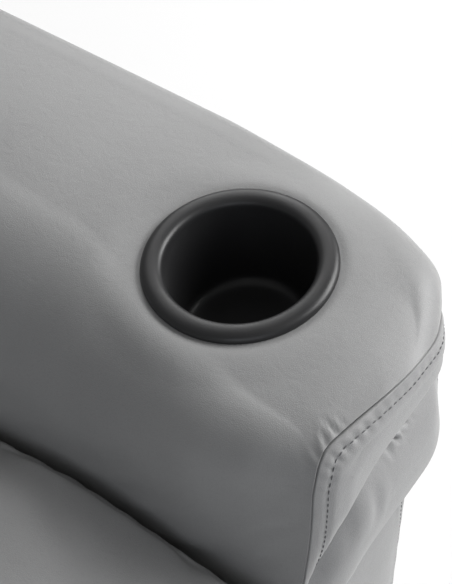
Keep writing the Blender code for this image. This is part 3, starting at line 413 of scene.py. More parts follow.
# %% Camera
camera_data = bpy.data.cameras.new("camera")
camera = linked("camera", camera_data)
bpy.context.scene.camera = camera
AZIMUTH, ELEVATION = math.radians(-55.0), math.radians(49.0)
CAMERA_DISTANCE = 1.0
AIM = (-0.0206, -0.0052, 0.0)
looking = Vector((
    -math.sin(AZIMUTH) * math.cos(ELEVATION), math.cos(AZIMUTH) * math.cos(ELEVATION), -math.sin(ELEVATION)
))
camera.location = Vector(CUP) + Vector(AIM) - looking * CAMERA_DISTANCE
camera.rotation_euler = looking.to_track_quat("-Z", "Y").to_euler()
camera_data.sensor_width = 36.0
camera_data.lens = 112.7
camera_data.clip_start = 0.01
camera_data.clip_end = 100.0
print("camera at", tuple(round(v, 3) for v in camera.location))

# %% Lamps


def softbox(name, place, towards, width, height, watts, colour="#FFFFFF"):
    """A rectangular studio lamp that faces a place."""
    data = bpy.data.lights.new(name, "AREA")
    data.shape = "RECTANGLE"
    data.size, data.size_y = width, height
    data.energy = watts
    data.color = linear(colour)[:3]
    lamp = linked(name, data)
    lamp.location = place
    lamp.rotation_euler = (Vector(towards) - Vector(place)).to_track_quat("-Z", "Y").to_euler()


softbox("key", (2.5, -1.9, 2.3), (0.3, -0.2, 0.5), 2.2, 2.2, 129.0)
softbox("top", (2.5, 1.3, 2.2), (0.2, -0.1, 0.5), 1.8, 1.8, 34.0)
softbox("fill", (-2.2, -2.2, 1.7), (0.1, -0.2, 0.5), 2.2, 2.2, 17.0, "#F0F6FF")
print("lamps", {lamp.name: round(lamp.energy, 1) for lamp in bpy.data.lights}, "watts")

# %% World and floor
ROOM_LIGHT = 0.24
world = bpy.data.worlds.new("studio")
bpy.context.scene.world = world
world.use_nodes = True
tree = world.node_tree
tree.nodes.clear()
path = add(tree, "ShaderNodeLightPath")
room, white = (
    add(tree, "ShaderNodeBackground", values={"Color": (1.0, 1.0, 1.0, 1.0), "Strength": strength})
    for strength in (ROOM_LIGHT, 1.0)
)
seen = add(
    tree, "ShaderNodeMath", [(0, path.outputs["Is Camera Ray"]), (1, path.outputs["Is Transmission Ray"])],
    operation="MAXIMUM",
)
mix = add(tree, "ShaderNodeMixShader", [(0, seen.outputs[0]), (1, room.outputs[0]), (2, white.outputs[0])])
add(tree, "ShaderNodeOutputWorld", [("Surface", mix.outputs[0])])
bpy.context.scene.view_settings.view_transform = "Standard"

FLOOR_HALF = 40.0
FLOOR_VEIL = 0.55
floor_paint, tree, shader, place = new_material("floor_paint", "#F2F2F2", 0.9)
dust = noise(tree, place, 700.0, detail=2.0)
plug(shader, ramp(tree, dust, [(0.3, "#F0F0F0"), (0.7, "#F4F4F4")]))
path = add(tree, "ShaderNodeLightPath")
glow = add(tree, "ShaderNodeEmission", values={"Color": (0.97, 0.97, 0.97, 1.0), "Strength": 1.0})
veil = add(
    tree, "ShaderNodeMath", [(0, path.outputs["Is Camera Ray"])], {1: FLOOR_VEIL}, operation="MULTIPLY"
)
mix = add(tree, "ShaderNodeMixShader", [(0, veil.outputs[0]), (1, shader.outputs[0]), (2, glow.outputs[0])])
tree.links.new(mix.outputs[0], tree.nodes["Material Output"].inputs["Surface"])
corners = np.array([[[x, y, 0.0] for x in (-FLOOR_HALF, FLOOR_HALF)] for y in (-FLOOR_HALF, FLOOR_HALF)])
ground = grid_object("ground", corners)
ground.data.materials.append(floor_paint)
print("floor", 2 * FLOOR_HALF, "m across")

# %% [markdown]
# ## The arm beside the camera
#
# One panel of leather runs from the seat over the arm and down its outer side, and a second panel
# closes the front. A sculpted block would have no honest seam, so the skin is a grid: its rows run
# from the rear to the seam and its columns round the arm. Its sections are read from tables in
# millimetres (o outward, f forward and z up from the middle of the cup holder's lip), and the last
# rows settle onto the seam's own line. The front panel starts from that same line.

# %% Tables of the arm
REAR_END, LOWER_EDGE, INNER_EDGE = -640.0, -562.0, -260.0
OUTLINE_TOP = [
    (-640, 110), (-160, 111), (-80, 110.5), (-53, 108.5), (-25, 105.5), (-3, 102.5), (18, 98.5),
    (40, 93.5), (56, 88.5), (73, 81), (84, 74.5), (90, 69.5), (93.5, 65.5), (95.5, 62),
    (98.5, 57.5), (102.4, 50.5), (107, 41), (118, 20),
]
OUTLINE_LOW = [
    (-640, 97), (25, 97), (60, 92.5), (80, 85), (88, 79.5), (92, 75.5), (97, 69), (118, 50),
]
OUTLINE_BASE = [
    (-640, 97), (10, 97), (40, 93.5), (58, 88.5), (70, 83), (77, 78.5), (82, 73.5), (90, 66),
    (118, 45),
]
CORNER_WIDTH = [
    (-640, 84), (-200, 88), (-100, 85), (-60, 74), (0, 57), (30, 46), (60, 34), (80, 27), (108, 14),
]
CORNER_HEIGHT = [
    (-640, 98), (-100, 100), (-60, 88), (0, 68), (40, 48), (80, 31), (108, 16),
]
SEAM_POINTS = [
    (-106, 104, -560), (-106, 105, -400), (-106, 106, -260), (-103, 107.5, -190), (-97, 109, -120),
    (-92, 109.5, -75), (-90.4, 109.2, -45), (-88.4, 107.8, -30), (-84.6, 106.6, -21),
    (-79.5, 105.2, -13.5), (-72, 104.4, -9), (-61, 106.2, -7), (-50, 108.4, -6), (-38, 111, -5.3),
    (-26.6, 113.2, -5), (-5.7, 115.4, -6), (13.6, 114.3, -9), (26, 112, -12), (39.4, 106.9, -16),
    (49, 102.4, -19.5), (56, 98.5, -25), (61, 95.5, -34), (65, 93.8, -48), (69, 93, -70),
    (74, 92.5, -95), (78, 92, -130), (77.3, 89.5, -175), (75, 85.5, -205), (73.5, 83.3, -235),
    (73, 82.3, -350), (73, 82, -560),
]
SEAM_MARKS = (2, 7, 10, 18, 24, 30)
SKIN_COLUMNS = (40, 34, 62, 22, 81)
SKIN_GRADES = (-1.4, 1.0, 1.0, 1.0, 1.4)
COLUMNS_BELOW = 29
INNER_FACE, INNER_TAPER, TAPER_FROM, TAPER_TO = -107.0, 15.0, 30.0, 112.0
CUP_TILT_IN, CUP_TILT_BACK = math.radians(4.0), math.radians(3.05)
LIP_OUTER, LIP_RAISE, CUP_HOLE = 55.0, 1.6, 48.0

# %% Sections and seam of the arm


def placed(points):
    """Arm millimetres (o, f, z) as places in the chair's frame."""
    points = np.asarray(points, float) * MM
    return np.stack([CUP[0] + points[..., 0], CUP[1] - points[..., 1], CUP[2] + points[..., 2]], axis=-1)


def crown(o, f):
    """Height of the arm's top."""
    front = 7.0 * step(f, 62.0, 118.0) ** 1.4
    return 3.0 - 0.001 * (o - 35.0) ** 2 + 2.6 * np.tanh(f / 60.0) - front - 5.0 * step(-f, 250.0, 640.0)


def graded(part, count, grade):
    """A line's places without its last, closer at its start for a grade above 1, at its end below -1."""
    t = np.arange(count) / count
    share = t**grade if grade > 0 else 1.0 - (1.0 - t) ** -grade
    along = lengths_along(part)
    columns = np.asarray(part, float).T
    return np.stack([np.interp(share * along[-1], along, column) for column in columns], axis=1)


def arm_section(f):
    """The skin's section (o, z) at one place along the arm, from the seat over the top and down."""
    wide, high = float(table(f, CORNER_WIDTH)), float(table(f, CORNER_HEIGHT))
    top, low = float(table(f, OUTLINE_TOP)), float(table(f, OUTLINE_LOW))
    taper = float(step(f, TAPER_FROM, TAPER_TO))
    inner = INNER_FACE + INNER_TAPER * taper
    z = np.linspace(INNER_EDGE, -high, 60)
    draw_in = 3.5 * step(-z, 100.0, 230.0) + 10.0 * taper * step(-z, 45.0, 190.0)
    face = np.c_[inner - draw_in, z]
    turn = np.linspace(0.0, math.pi / 2, 60)
    shoulder = inner + wide
    z_in = float(crown(shoulder, f))
    corner = np.c_[inner + wide * (1 - np.cos(turn)), -high + (high + z_in) * np.sin(turn)]
    corner[:, 0] += (face[-1, 0] - inner) * (1 - np.sin(turn))
    round_out = min(32.0, (top - shoulder) * 0.4)
    o = np.linspace(shoulder, top - round_out, 60)
    flat = np.c_[o, crown(o, f)]
    z_out, drop = float(flat[-1, 1]), 34.0
    outer = np.c_[top - round_out * (1 - np.sin(turn)), z_out - drop * (1 - np.cos(turn))]
    z = np.linspace(z_out - drop, LOWER_EDGE, 120)
    side = top + (low - top) * step(-z, 52.0, 86.0) - 4.5 * bell(z + 84.0, 5.0)
    side = side + (float(table(f, OUTLINE_BASE)) - low) * step(-z, 160.0, 225.0)
    lower = np.c_[side - 2.0 * step(-z, 300.0, 560.0), z]
    parts = zip((face, corner, flat, outer, lower), SKIN_COLUMNS, SKIN_GRADES)
    return np.concatenate([*(graded(*part) for part in parts), lower[-1:]])


def seam_line():
    """The front seam as the skin's columns meet it, and the whole seam as the front panel meets it."""
    fine = smooth_line(SEAM_POINTS, 2400)
    marks = [int(np.linalg.norm(fine - np.array(SEAM_POINTS[i], float), axis=1).argmin()) for i in SEAM_MARKS]
    spans = [fine[a : b + 1] for a, b in zip(marks, marks[1:])]
    above = [graded(span, n, grade) for span, n, grade in zip(spans, SKIN_COLUMNS, SKIN_GRADES)]
    below = graded(fine[: marks[0] + 1], COLUMNS_BELOW, 1.0)
    upper = np.concatenate([*above, fine[-1:]])
    return upper, np.concatenate([below, upper])


SEAM, WHOLE_SEAM = seam_line()
print("seam points", len(SEAM), len(WHOLE_SEAM), "length", round(lengths_along(WHOLE_SEAM)[-1]), "mm")

# %% [markdown]
# Leather that is pulled over foam wrinkles where it is held: beside the cup holder, at the seam's
# tight inner corner and low on the face beside the seat. Noise would scatter creases anywhere, so
# each crease is drawn as a short stroke: a narrow valley with a soft ridge at both sides.

# %% Creases of the skin


def stroke(points, start, end, width, depth):
    """How far a crease from start to end moves each point along its normal, in millimetres."""
    start, end = np.array(start, float), np.array(end, float)
    axis = end - start
    t = np.clip(((points - start) @ axis) / (axis @ axis), 0.0, 1.0)
    away = np.linalg.norm(points - start - t[..., None] * axis, axis=-1) / width
    taper = np.sin(np.pi * np.clip(t, 0.06, 0.94)) ** 0.7
    return depth * taper * (0.55 * bell(away - 1.9) - bell(away))


SKIN_CREASES = [
    ((-33, -45, 2), (-41, -52, 1.2), 1.5, 1.2), ((-38, -41, 1.6), (-47, -45, 0.6), 1.6, 0.5),
    ((-66, -10, -6), (-82, -4, -20), 2.2, 0.4), ((-68, 12, -8), (-86, 20, -26), 2.6, 0.4),
    ((-62, 105.5, -7), (-60, 94, -6), 1.6, 1.1), ((-71, 104.5, -9), (-65, 97, -7), 1.5, 1.0),
    ((-56, 107, -6.4), (-55, 99, -5.5), 1.4, 0.5), ((-78, 105, -13), (-74, 97, -11), 1.8, 0.6),
    ((-87.3, 104, -29), (-86, 95, -30), 1.2, 0.40), ((-88.6, 104, -34), (-87.5, 90, -35.5), 1.3, 0.50),
    ((-89.6, 104, -39), (-88.5, 88, -41), 1.3, 0.45), ((-90, 104, -44), (-89.4, 91, -46.5), 1.3, 0.40),
    ((-86, 92, -26), (-90, 70, -40), 3.0, 0.5), ((-92, 100, -58), (-99, 72, -84), 3.6, 0.8),
    ((-93, 100, -84), (-101, 66, -118), 4.2, 0.9), ((-101, 40, -70), (-105, -20, -104), 6.0, 0.9),
    ((-104, 70, -104), (-108, 10, -140), 7.0, 1.2), ((-100, -60, -66), (-106, -150, -100), 7.0, 0.7),
    ((-104, -120, -90), (-107, -230, -112), 8.0, 0.9), ((-96, -260, -50), (-106, -340, -100), 8.0, 0.9),
]


def with_strokes(points, strokes):
    """The grid with creases pressed along its normals."""
    push = sum(stroke(points, *one) for one in strokes)
    return points + grid_normals(points) * push[..., None]


# %% Skin of the arm


def nearest_on(line, places):
    """Distance from each place to a line of points, and where on the line that is, as an index."""
    start, span = line[:-1], np.diff(line, axis=0)
    offset = places[..., None, :] - start
    t = np.clip((offset * span).sum(-1) / (span**2).sum(-1), 0.0, 1.0)
    away = np.linalg.norm(offset - t[..., None] * span, axis=-1)
    nearest = away.argmin(-1)
    return away.min(-1), nearest + np.take_along_axis(t, nearest[..., None], -1)[..., 0]


def read_line(line, index):
    """A place on a line of points at an index that may lie between two points."""
    return np.array([np.interp(index, np.arange(len(line)), column) for column in line.T])


FINE_FROM, EVEN_TO = -200.0, 40.0
DISH_EDGE, DISH_FLOOR = 84.0, -40.0
LIP_PRESS = 1.3
MET_BLUR = 23


def arm_skin():
    """The grid of the arm's skin, rear to seam. Its columns slide along the sections to meet the seam."""
    even = np.r_[np.linspace(REAR_END, FINE_FROM, 80), np.linspace(FINE_FROM, EVEN_TO, 90)[1:]]
    rows = [np.insert(arm_section(f), 1, f, axis=1) for f in even]
    last = [arm_section(f) for f in SEAM[:, 1]]
    own = np.arange(len(SEAM), dtype=float)
    met = np.array([nearest_on(section, place[[0, 2]])[1] for section, place in zip(last, SEAM)])
    padded = np.pad(met, MET_BLUR // 2, mode="edge")
    met = np.maximum.accumulate(np.convolve(padded, np.full(MET_BLUR, 1 / MET_BLUR), mode="valid"))
    gap = SEAM[:, [0, 2]] - np.array([read_line(section, index) for section, index in zip(last, met)])
    shares = np.r_[np.linspace(0.0, 0.88, 30)[1:], 0.915, 0.945, 0.968, 0.984, 0.994]
    for share in shares:
        f_here = EVEN_TO + (SEAM[:, 1] - EVEN_TO) * share
        slid = own + (met - own) * step(share, 0.0, 1.0)
        shape = np.array([read_line(arm_section(f), index) for f, index in zip(f_here, slid)])
        shape = shape + gap * step(share, 0.4, 1.0)
        rows.append(np.c_[shape[:, 0], f_here, shape[:, 1]])
    points = np.array(rows)
    reach = np.hypot(points[..., 0], points[..., 1])
    seat = math.tan(CUP_TILT_IN) * points[..., 0] + math.tan(CUP_TILT_BACK) * points[..., 1] + LIP_RAISE - 1.0
    weight = (1.0 - step(reach, LIP_OUTER + 1.0, DISH_EDGE)) * (points[..., 2] > DISH_FLOOR)
    points[..., 2] += (seat - points[..., 2]) * weight
    press = bell(reach - LIP_OUTER, 3.5) * (points[..., 2] > DISH_FLOOR)
    points[..., 2] -= LIP_PRESS * press
    return with_strokes(points, SKIN_CREASES)


def tucked(line, towards, depth):
    """The seam's line moved inward, where both panels' edges are sewn."""
    return line + unit(towards) * depth


TUCK_DEPTH = 3.2
SKIN = arm_skin()
INWARD = np.c_[
    -WHOLE_SEAM[:, 0] * 0.006, np.full(len(WHOLE_SEAM), -0.75), -0.7 * step(WHOLE_SEAM[:, 2], -60.0, -20.0)
]
GROOVE = tucked(WHOLE_SEAM, INWARD, TUCK_DEPTH)
skin_rows = np.concatenate([SKIN, GROOVE[None, -len(SEAM) :]])
print("skin rows and columns", skin_rows.shape[:2])

# %% [markdown]
# ## The arm's front
#
# Below the seam the front leather hangs as a band with one row of topstitching, folds under, swells
# into a stuffed roll with pinched creases, and is tucked in again above a plain lower panel. The
# panel is a grid whose rows step inward from the seam to a spine down its middle, and its depth is
# read from one profile whose folds are slanted.

# %% Profile and folds of the front
FRONT_PROFILE = [
    (-563, 79), (-545, 86), (-480, 92), (-350, 94), (-285, 93), (-250, 88), (-230, 81.5),
    (-218, 77.5), (-211, 79.5), (-198, 85), (-182, 92.5), (-166, 100.5), (-150, 109.5), (-138, 115),
    (-124, 119), (-108, 120.5), (-94, 119.5), (-84, 116), (-74, 107.5), (-66, 97), (-62, 91),
    (-58, 98.5), (-52, 109.5), (-44, 117), (-34, 120), (-22, 119.5), (-10, 116.5), (-3, 113.5),
]
FOLD_HEIGHT = [
    (-105, -150), (-85, -116), (-70, -95), (-55, -80), (-44, -70), (-30, -65), (0, -62), (40, -60),
    (60, -66), (80, -84),
]
LOW_FOLD_HEIGHT = [
    (-60, -219), (20, -217), (45, -212), (62, -204), (80, -193),
]
OUTER_REACH = [
    (-560, 110), (-230, 111), (-205, 113.5), (-175, 119), (-150, 121.5), (-130, 122.5), (-110, 122),
    (-85, 118), (-60, 114.8), (0, 114.8),
]
FOLD, LOW_FOLD = -62.0, -218.0
BAND_STITCH = 8.6
SPINE_TOP, SPINE_LOW = (-14.0, -46.0), (-12.0, -520.0)
CORNER_TURN, CORNER_ROUND = (0.574, 0.819), 7.0


def front_depth(o, z):
    """The front's profile: its folds slanted, its outer corner rounded off at 35 degrees in plan."""
    fold, low = table(o, FOLD_HEIGHT), table(o, LOW_FOLD_HEIGHT)
    upper = z * FOLD / fold
    roll = FOLD + (z - fold) * (LOW_FOLD - FOLD) / (low - fold)
    plain = LOW_FOLD + (z - low) * (LOWER_EDGE - LOW_FOLD) / (LOWER_EDGE - low)
    height = np.where(z > fold, upper, np.where(z > low, roll, plain))
    depth = table(height, FRONT_PROFILE)
    limit = (table(z, OUTER_REACH) - CORNER_TURN[0] * o) / CORNER_TURN[1]
    return 0.5 * (depth + limit - np.hypot(depth - limit, CORNER_ROUND)), height


# %% Creases of the front, and how it leaves the seam
FRONT_CREASES = [
    ((2, 101, -68.5), (10, 107, -75), 1.5, 4.4), ((-4, 101, -69.5), (5, 106, -73.5), 1.6, 5.0),
    ((-4.5, 101, -70.5), (-1, 108.5, -77.5), 1.6, 4.6), ((9, 100, -67), (17, 105.5, -72), 1.4, 2.4),
    ((-11, 104, -73), (-10, 112, -81), 1.7, 1.6),
    ((-30, 112, -80), (-38, 122, -104), 4.0, 1.0), ((-52, 111, -86), (-64, 120, -108), 4.0, 0.8),
    ((10, 82, -212), (16, 104, -172), 5.0, 1.6), ((-30, 82, -212), (-36, 102, -174), 5.0, 1.6),
    ((50, 82, -208), (58, 98, -178), 5.0, 1.2), ((-66, 84, -212), (-74, 100, -178), 5.0, 1.2),
]
NEAR_ROWS = (0.4, 1.0, 1.8, 2.8, 4.0, 5.3, 6.7, 8.2, 9.8, 11.6, 13.8, 16.4, 19.4)
SIDE_COLUMNS = COLUMNS_BELOW + SKIN_COLUMNS[0] + SKIN_COLUMNS[1]
GATHER_AT = float(lengths_along(WHOLE_SEAM)[SIDE_COLUMNS + 6])


def to_seam(places):
    """Distance in the front's plane from each place to the seam, where along it that is, and its depth."""
    away, index = nearest_on(WHOLE_SEAM[:, [0, 2]], places)
    count = np.arange(len(WHOLE_SEAM))
    return away, np.interp(index, count, lengths_along(WHOLE_SEAM)), np.interp(index, count, WHOLE_SEAM[:, 1])


def raised(places):
    """The front's places (o, z) with their depth: rounded in from the seam, folded and creased."""
    d, along, edge = to_seam(places)
    depth, height = front_depth(places[..., 0], places[..., 1])
    width = 24.0 + 30.0 * step(-height, 58.0, 105.0)
    share = np.clip(d / width, 0.0, 1.0)
    round_rise = np.sqrt(1.0 - (1.0 - share) ** 2)
    rise = round_rise + (np.sin(share * np.pi / 2) ** 1.3 - round_rise) * step(-places[..., 0], 50.0, 90.0)
    f = edge + (depth - edge) * rise
    gathers = 0.16 + 0.5 * bell(along - GATHER_AT, 26.0)
    f += gathers * np.sin(along / 1.35) * bell(d - 5.0, 3.2)
    points = np.stack([places[..., 0], f, places[..., 1]], axis=-1)
    points[..., 1] += sum(stroke(points, *one) for one in FRONT_CREASES)
    return points, d, height


# %% Front panel


def front_panel():
    """The panel as a rim beside the seam and a patch inside it, with the row of the topstitching."""
    z = np.clip(WHOLE_SEAM[:, 2], SPINE_LOW[1], SPINE_TOP[1])
    along = (z - SPINE_TOP[1]) / (SPINE_LOW[1] - SPINE_TOP[1])
    low = WHOLE_SEAM[:, 2] < SPINE_LOW[1]
    spine = np.c_[SPINE_TOP[0] + (SPINE_LOW[0] - SPINE_TOP[0]) * along, np.where(low, WHOLE_SEAM[:, 2], z)]
    across = unit(spine - WHOLE_SEAM[:, [0, 2]])
    rim_places = np.array([WHOLE_SEAM[:, [0, 2]] + across * d for d in NEAR_ROWS])
    rim, d, height = raised(rim_places)
    calm = 1.0 - bell(height - FOLD, 12.0) - bell(height - LOW_FOLD, 14.0)
    swell = (d / 7.0) * np.exp(1.0 - d / 7.0) * (1.0 - step(d, 10.0, 18.0))
    side = np.where(rim[..., 0] > 0.0, 1.2, 1.6) * swell
    rim = rim + grid_normals(rim) * (side * np.clip(calm, 0.0, 1.0))[..., None]
    over = np.cumsum(np.linalg.norm(np.diff(rim, axis=0, prepend=rim[:1]), axis=-1), axis=0) + NEAR_ROWS[0]
    pressed = 0.8 * bell(over - BAND_STITCH, 1.5)
    rim = rim - grid_normals(rim) * pressed[..., None]
    inner = rim_places[-1]
    left, right = inner[: SIDE_COLUMNS + 1], inner[-SIDE_COLUMNS - 1 :][::-1]
    top = inner[SIDE_COLUMNS : -SIDE_COLUMNS]
    s = np.linspace(0.0, 1.0, len(top))[None, :, None]
    t = np.linspace(0.0, 1.0, len(left))[:, None, None]
    bottom = left[0] + (right[0] - left[0]) * s[0]
    corners = (1 - t) * ((1 - s) * left[0] + s * right[0]) + t * ((1 - s) * top[0] + s * top[-1])
    inside = (1 - s) * left[:, None] + s * right[:, None] + (1 - t) * bottom[None] + t * top[None] - corners
    patch = raised(inside)[0]
    rim[-1] = raised(rim_places[-1])[0]
    normals = grid_normals(rim)
    stitches = []
    for column in range(rim.shape[1]):
        above = rim[:, column] + 0.3 * normals[:, column]
        stitches.append([np.interp(BAND_STITCH, over[:, column], above[:, k]) for k in range(3)])
    return rim, patch, np.array(stitches)


RIM, PATCH, STITCH_ROW = front_panel()
rim_rows = np.concatenate([GROOVE[None], RIM])
print("front rim and patch", rim_rows.shape[:2], PATCH.shape[:2])

# %% Rear of the arm
REAR_ROLL, REAR_SWELL, REAR_RIM = 7.0, 3.0, 26.0


def rear_panel():
    """A grid that closes the arm's rear: rolled over the edge and flat across the frame."""
    heights = np.linspace(LOWER_EDGE, INNER_EDGE, 30, False)
    below = np.c_[np.full(30, SKIN[0, 0, 0]), np.full(30, REAR_END), heights]
    edge = np.concatenate([below, SKIN[0]])
    spine = np.c_[np.full(len(edge), -6.0), np.clip(edge[:, 2], LOWER_EDGE, -70.0)]
    across = spine - edge[:, [0, 2]]
    reach = np.linalg.norm(across, axis=1)
    rows = [tucked(edge, np.c_[across[:, 0], np.full(len(edge), 40.0), across[:, 1]], 2.6)]
    for d in (0.6, 1.6, 3.2, 5.5, 8.5, 12.5, 18.0, REAR_RIM):
        bulge = REAR_ROLL * np.sqrt(1.0 - (1.0 - min(d / 20.0, 1.0)) ** 2)
        place = edge[:, [0, 2]] + across * (d / reach)[:, None]
        rows.append(np.c_[place[:, 0], edge[:, 1] - bulge, place[:, 1]])
    for share in np.linspace(0.0, 1.0, 10)[1:]:
        place = edge[:, [0, 2]] + across * ((REAR_RIM + (reach - REAR_RIM) * share) / reach)[:, None]
        rows.append(np.c_[place[:, 0], edge[:, 1] - REAR_ROLL - REAR_SWELL * share, place[:, 1]])
    return np.array(rows)


REAR = rear_panel()
print("rear rows and columns", REAR.shape[:2])

# %% [markdown]
# Topstitching is bonded thread, a little under a millimetre thick, sewn at about five stitches to
# the inch. Each stitch is the same small spindle, so Geometry Nodes lay it along the panel's row,
# turned with the row, and one tree serves every seam of the chair.

# %% Stitches by Geometry Nodes


def stitch_tree():
    """A node tree that lays stitches along the edges of a line."""
    tree = bpy.data.node_groups.new("stitches", "GeometryNodeTree")
    tree.interface.new_socket("Geometry", in_out="INPUT", socket_type="NodeSocketGeometry")
    sockets = {
        name: tree.interface.new_socket(name, in_out="INPUT", socket_type=kind)
        for name, kind in (
            ("Pitch", "NodeSocketFloat"), ("Stitch length", "NodeSocketFloat"),
            ("Thread radius", "NodeSocketFloat"), ("Material", "NodeSocketMaterial"),
        )
    }
    tree.interface.new_socket("Geometry", in_out="OUTPUT", socket_type="NodeSocketGeometry")
    inputs = add(tree, "NodeGroupInput").outputs
    line = add(tree, "GeometryNodeMeshToCurve", [("Mesh", inputs["Geometry"])])
    even = add(
        tree, "GeometryNodeResampleCurve",
        [("Curve", line.outputs[0]), ("Length", inputs["Pitch"])], mode="LENGTH",
    )
    tangent = add(tree, "GeometryNodeInputTangent")
    turn = add(tree, "FunctionNodeAlignRotationToVector", [("Vector", tangent.outputs[0])], axis="X")
    ball = add(tree, "GeometryNodeMeshIcoSphere", values={"Radius": 0.5, "Subdivisions": 2})
    size = add(
        tree, "ShaderNodeCombineXYZ",
        [("X", inputs["Stitch length"]), ("Y", inputs["Thread radius"]), ("Z", inputs["Thread radius"])],
    )
    spindle = add(
        tree, "GeometryNodeTransform", [("Geometry", ball.outputs["Mesh"]), ("Scale", size.outputs[0])]
    )
    laid = add(
        tree, "GeometryNodeInstanceOnPoints",
        [("Points", even.outputs[0]), ("Instance", spindle.outputs[0]), ("Rotation", turn.outputs[0])],
    )
    real = add(tree, "GeometryNodeRealizeInstances", [("Geometry", laid.outputs[0])])
    dyed = add(
        tree, "GeometryNodeSetMaterial", [("Geometry", real.outputs[0]), ("Material", inputs["Material"])]
    )
    add(tree, "NodeGroupOutput", [("Geometry", dyed.outputs[0])])
    return tree, {name: socket.identifier for name, socket in sockets.items()}


STITCHES, STITCH_SOCKETS = stitch_tree()
STITCH_SIZES = {"Pitch": 4.6, "Stitch length": 3.1, "Thread radius": 0.62}


def sew(name, lines, body):
    """Stitches along lines of places, as one plain mesh that rides on a body."""
    vertices, edges = [], []
    for line in lines:
        start = len(vertices)
        vertices += line.tolist()
        edges += [(start + i, start + i + 1) for i in range(len(line) - 1)]
    guide_mesh = bpy.data.meshes.new(name + "_guide")
    guide_mesh.from_pydata(vertices, edges, [])
    guide = linked(name + "_guide", guide_mesh)
    modifier = guide.modifiers.new("stitches", "NODES")
    modifier.node_group = STITCHES
    for key, value in STITCH_SIZES.items():
        modifier[STITCH_SOCKETS[key]] = value * MM
    modifier[STITCH_SOCKETS["Material"]] = THREAD
    mesh = evaluated_mesh(guide)
    bpy.data.objects.remove(guide)
    mesh.shade_smooth()
    finish_piece(linked(name, mesh), THREAD, body)
    print(name, "triangles", sum(len(p.vertices) - 2 for p in mesh.polygons))


# %% Both arms
LEATHER_THICKNESS = 1.3
WELD = 2e-5


def on_side(side, points):
    """Arm millimetres as places at one side of the chair."""
    return placed(points) if side == "left" else mirrored(placed(points))


def outside_cup(middles):
    """Whether each quad's middle lies outside the cup's well, or well below its lip."""
    local = np.abs(middles[:, 0] - MIDDLE_X) - (CUP[0] - MIDDLE_X)
    reach = np.hypot(local, middles[:, 1] - CUP[1])
    return (reach > CUP_HOLE * MM) | (middles[:, 2] < CUP[2] - 0.04)


def thicken(obj):
    """Gives an open skin the thickness of leather, inward."""
    solid = obj.modifiers.new("leather", "SOLIDIFY")
    solid.thickness = LEATHER_THICKNESS * MM
    solid.offset = -1.0
    solid.use_rim = True


def joined(name, objects):
    """One object from several, with their shared edges welded."""
    work = bmesh.new()
    for obj in objects:
        work.from_mesh(obj.data)
        bpy.data.objects.remove(obj)
    mesh = bpy.data.meshes.new(name)
    work.to_mesh(mesh)
    work.free()
    whole = linked(name, mesh)
    tidy_mesh(whole, WELD)
    mesh.shade_smooth()
    return whole


def arm_leather(side):
    """The skin, front, rear and stitches of one arm."""
    left = side == "left"
    skin = grid_object(f"arm_skin_{side}", on_side(side, skin_rows), flip=left, keep=outside_cup)
    rim = grid_object("rim", on_side(side, rim_rows), flip=left)
    patch = grid_object("patch", on_side(side, PATCH), flip=not left)
    front = joined(f"arm_front_{side}", [rim, patch])
    rear = grid_object(f"arm_rear_{side}", on_side(side, REAR), flip=not left)
    nodes = (f"arm_pad_{side}", f"arm_inner_panel_{side}", f"arm_outer_panel_{side}")
    pillow = (f"arm_front_pillow_{side}",)
    for piece, gone, fill in ((skin, nodes, 0.8), (front, pillow, 0.75), (rear, (), 0.6)):
        thicken(piece)
        finish_piece(piece, GREY_LEATHER, "base", gone)
    sew(f"arm_stitches_{side}", [on_side(side, STITCH_ROW)], "base")


for side in ("left", "right"):
    arm_leather(side)

# %% [markdown]
# ## Cup holders
#
# Each is one moulded part: a rounded lip that rests on the leather, a tapered cup and a dished
# floor. It is a turned shape, so one profile is spun in many steps, and the result leans with the
# arm's crown as the real one does.

# %% Cup holders
CUP_PROFILE = [
    (54.3, -3.6), (55.3, -2.2), (55.6, -0.6), (55.0, 1.0), (53.7, 2.2), (51.8, 2.9), (49.0, 3.1),
    (46.6, 2.9), (44.9, 2.3), (43.7, 1.2), (43.1, -0.4), (42.8, -3.2), (42.2, -10.0), (40.5, -34.0),
    (39.1, -51.0), (38.0, -56.5), (35.2, -59.4), (31.0, -60.4), (20.0, -60.8), (0.0, -61.0),
]
CUP_UNDERSIDE = [(0.0, -63.6), (36.0, -63.4), (41.6, -56.0), (46.6, -4.5), (50.0, -2.6)]
CUP_STEPS = 144


def cup_holder(side):
    """The moulded cup holder of one arm."""
    shell = np.concatenate([smooth_line(CUP_PROFILE, 90), CUP_UNDERSIDE])
    angle = np.linspace(0.0, 2 * math.pi, CUP_STEPS, endpoint=False)
    r, z = shell[:, 0][:, None], shell[:, 1][:, None]
    o, f = r * np.cos(angle), r * np.sin(angle)
    up = np.broadcast_to(z, o.shape)
    tilted = np.stack([
        o - up * math.tan(CUP_TILT_IN), f - up * math.tan(CUP_TILT_BACK),
        up + o * math.tan(CUP_TILT_IN) + f * math.tan(CUP_TILT_BACK) + LIP_RAISE,
    ], axis=-1)
    tilted = np.concatenate([tilted, tilted[:1]])
    obj = grid_object(f"cup_{side}", on_side(side, tilted), around=True, flip=side == "left")
    finish_piece(obj, BLACK_PLASTIC, "base", (f"cup_holder_{side}",))
    return obj


for side in ("left", "right"):
    cup = cup_holder(side)
    print(cup.name, "faces", len(cup.data.polygons))

# %% [markdown]
# ## Stuffed cushions
#
# A cushion's leather is cut larger than the foam and sewn at its edges, so it swells between the
# seams and pulls into soft waves beside them. Subdivision alone gives balloons. Here each cushion
# is inflated as cloth with its seams held, and how far a point may move is capped.

# %% Reading and moving a mesh


def bake_modifiers(obj):
    """Replaces an object's mesh by its evaluated one."""
    mesh = evaluated_mesh(obj)
    obj.modifiers.clear()
    obj.data = mesh
    mesh.shade_smooth()


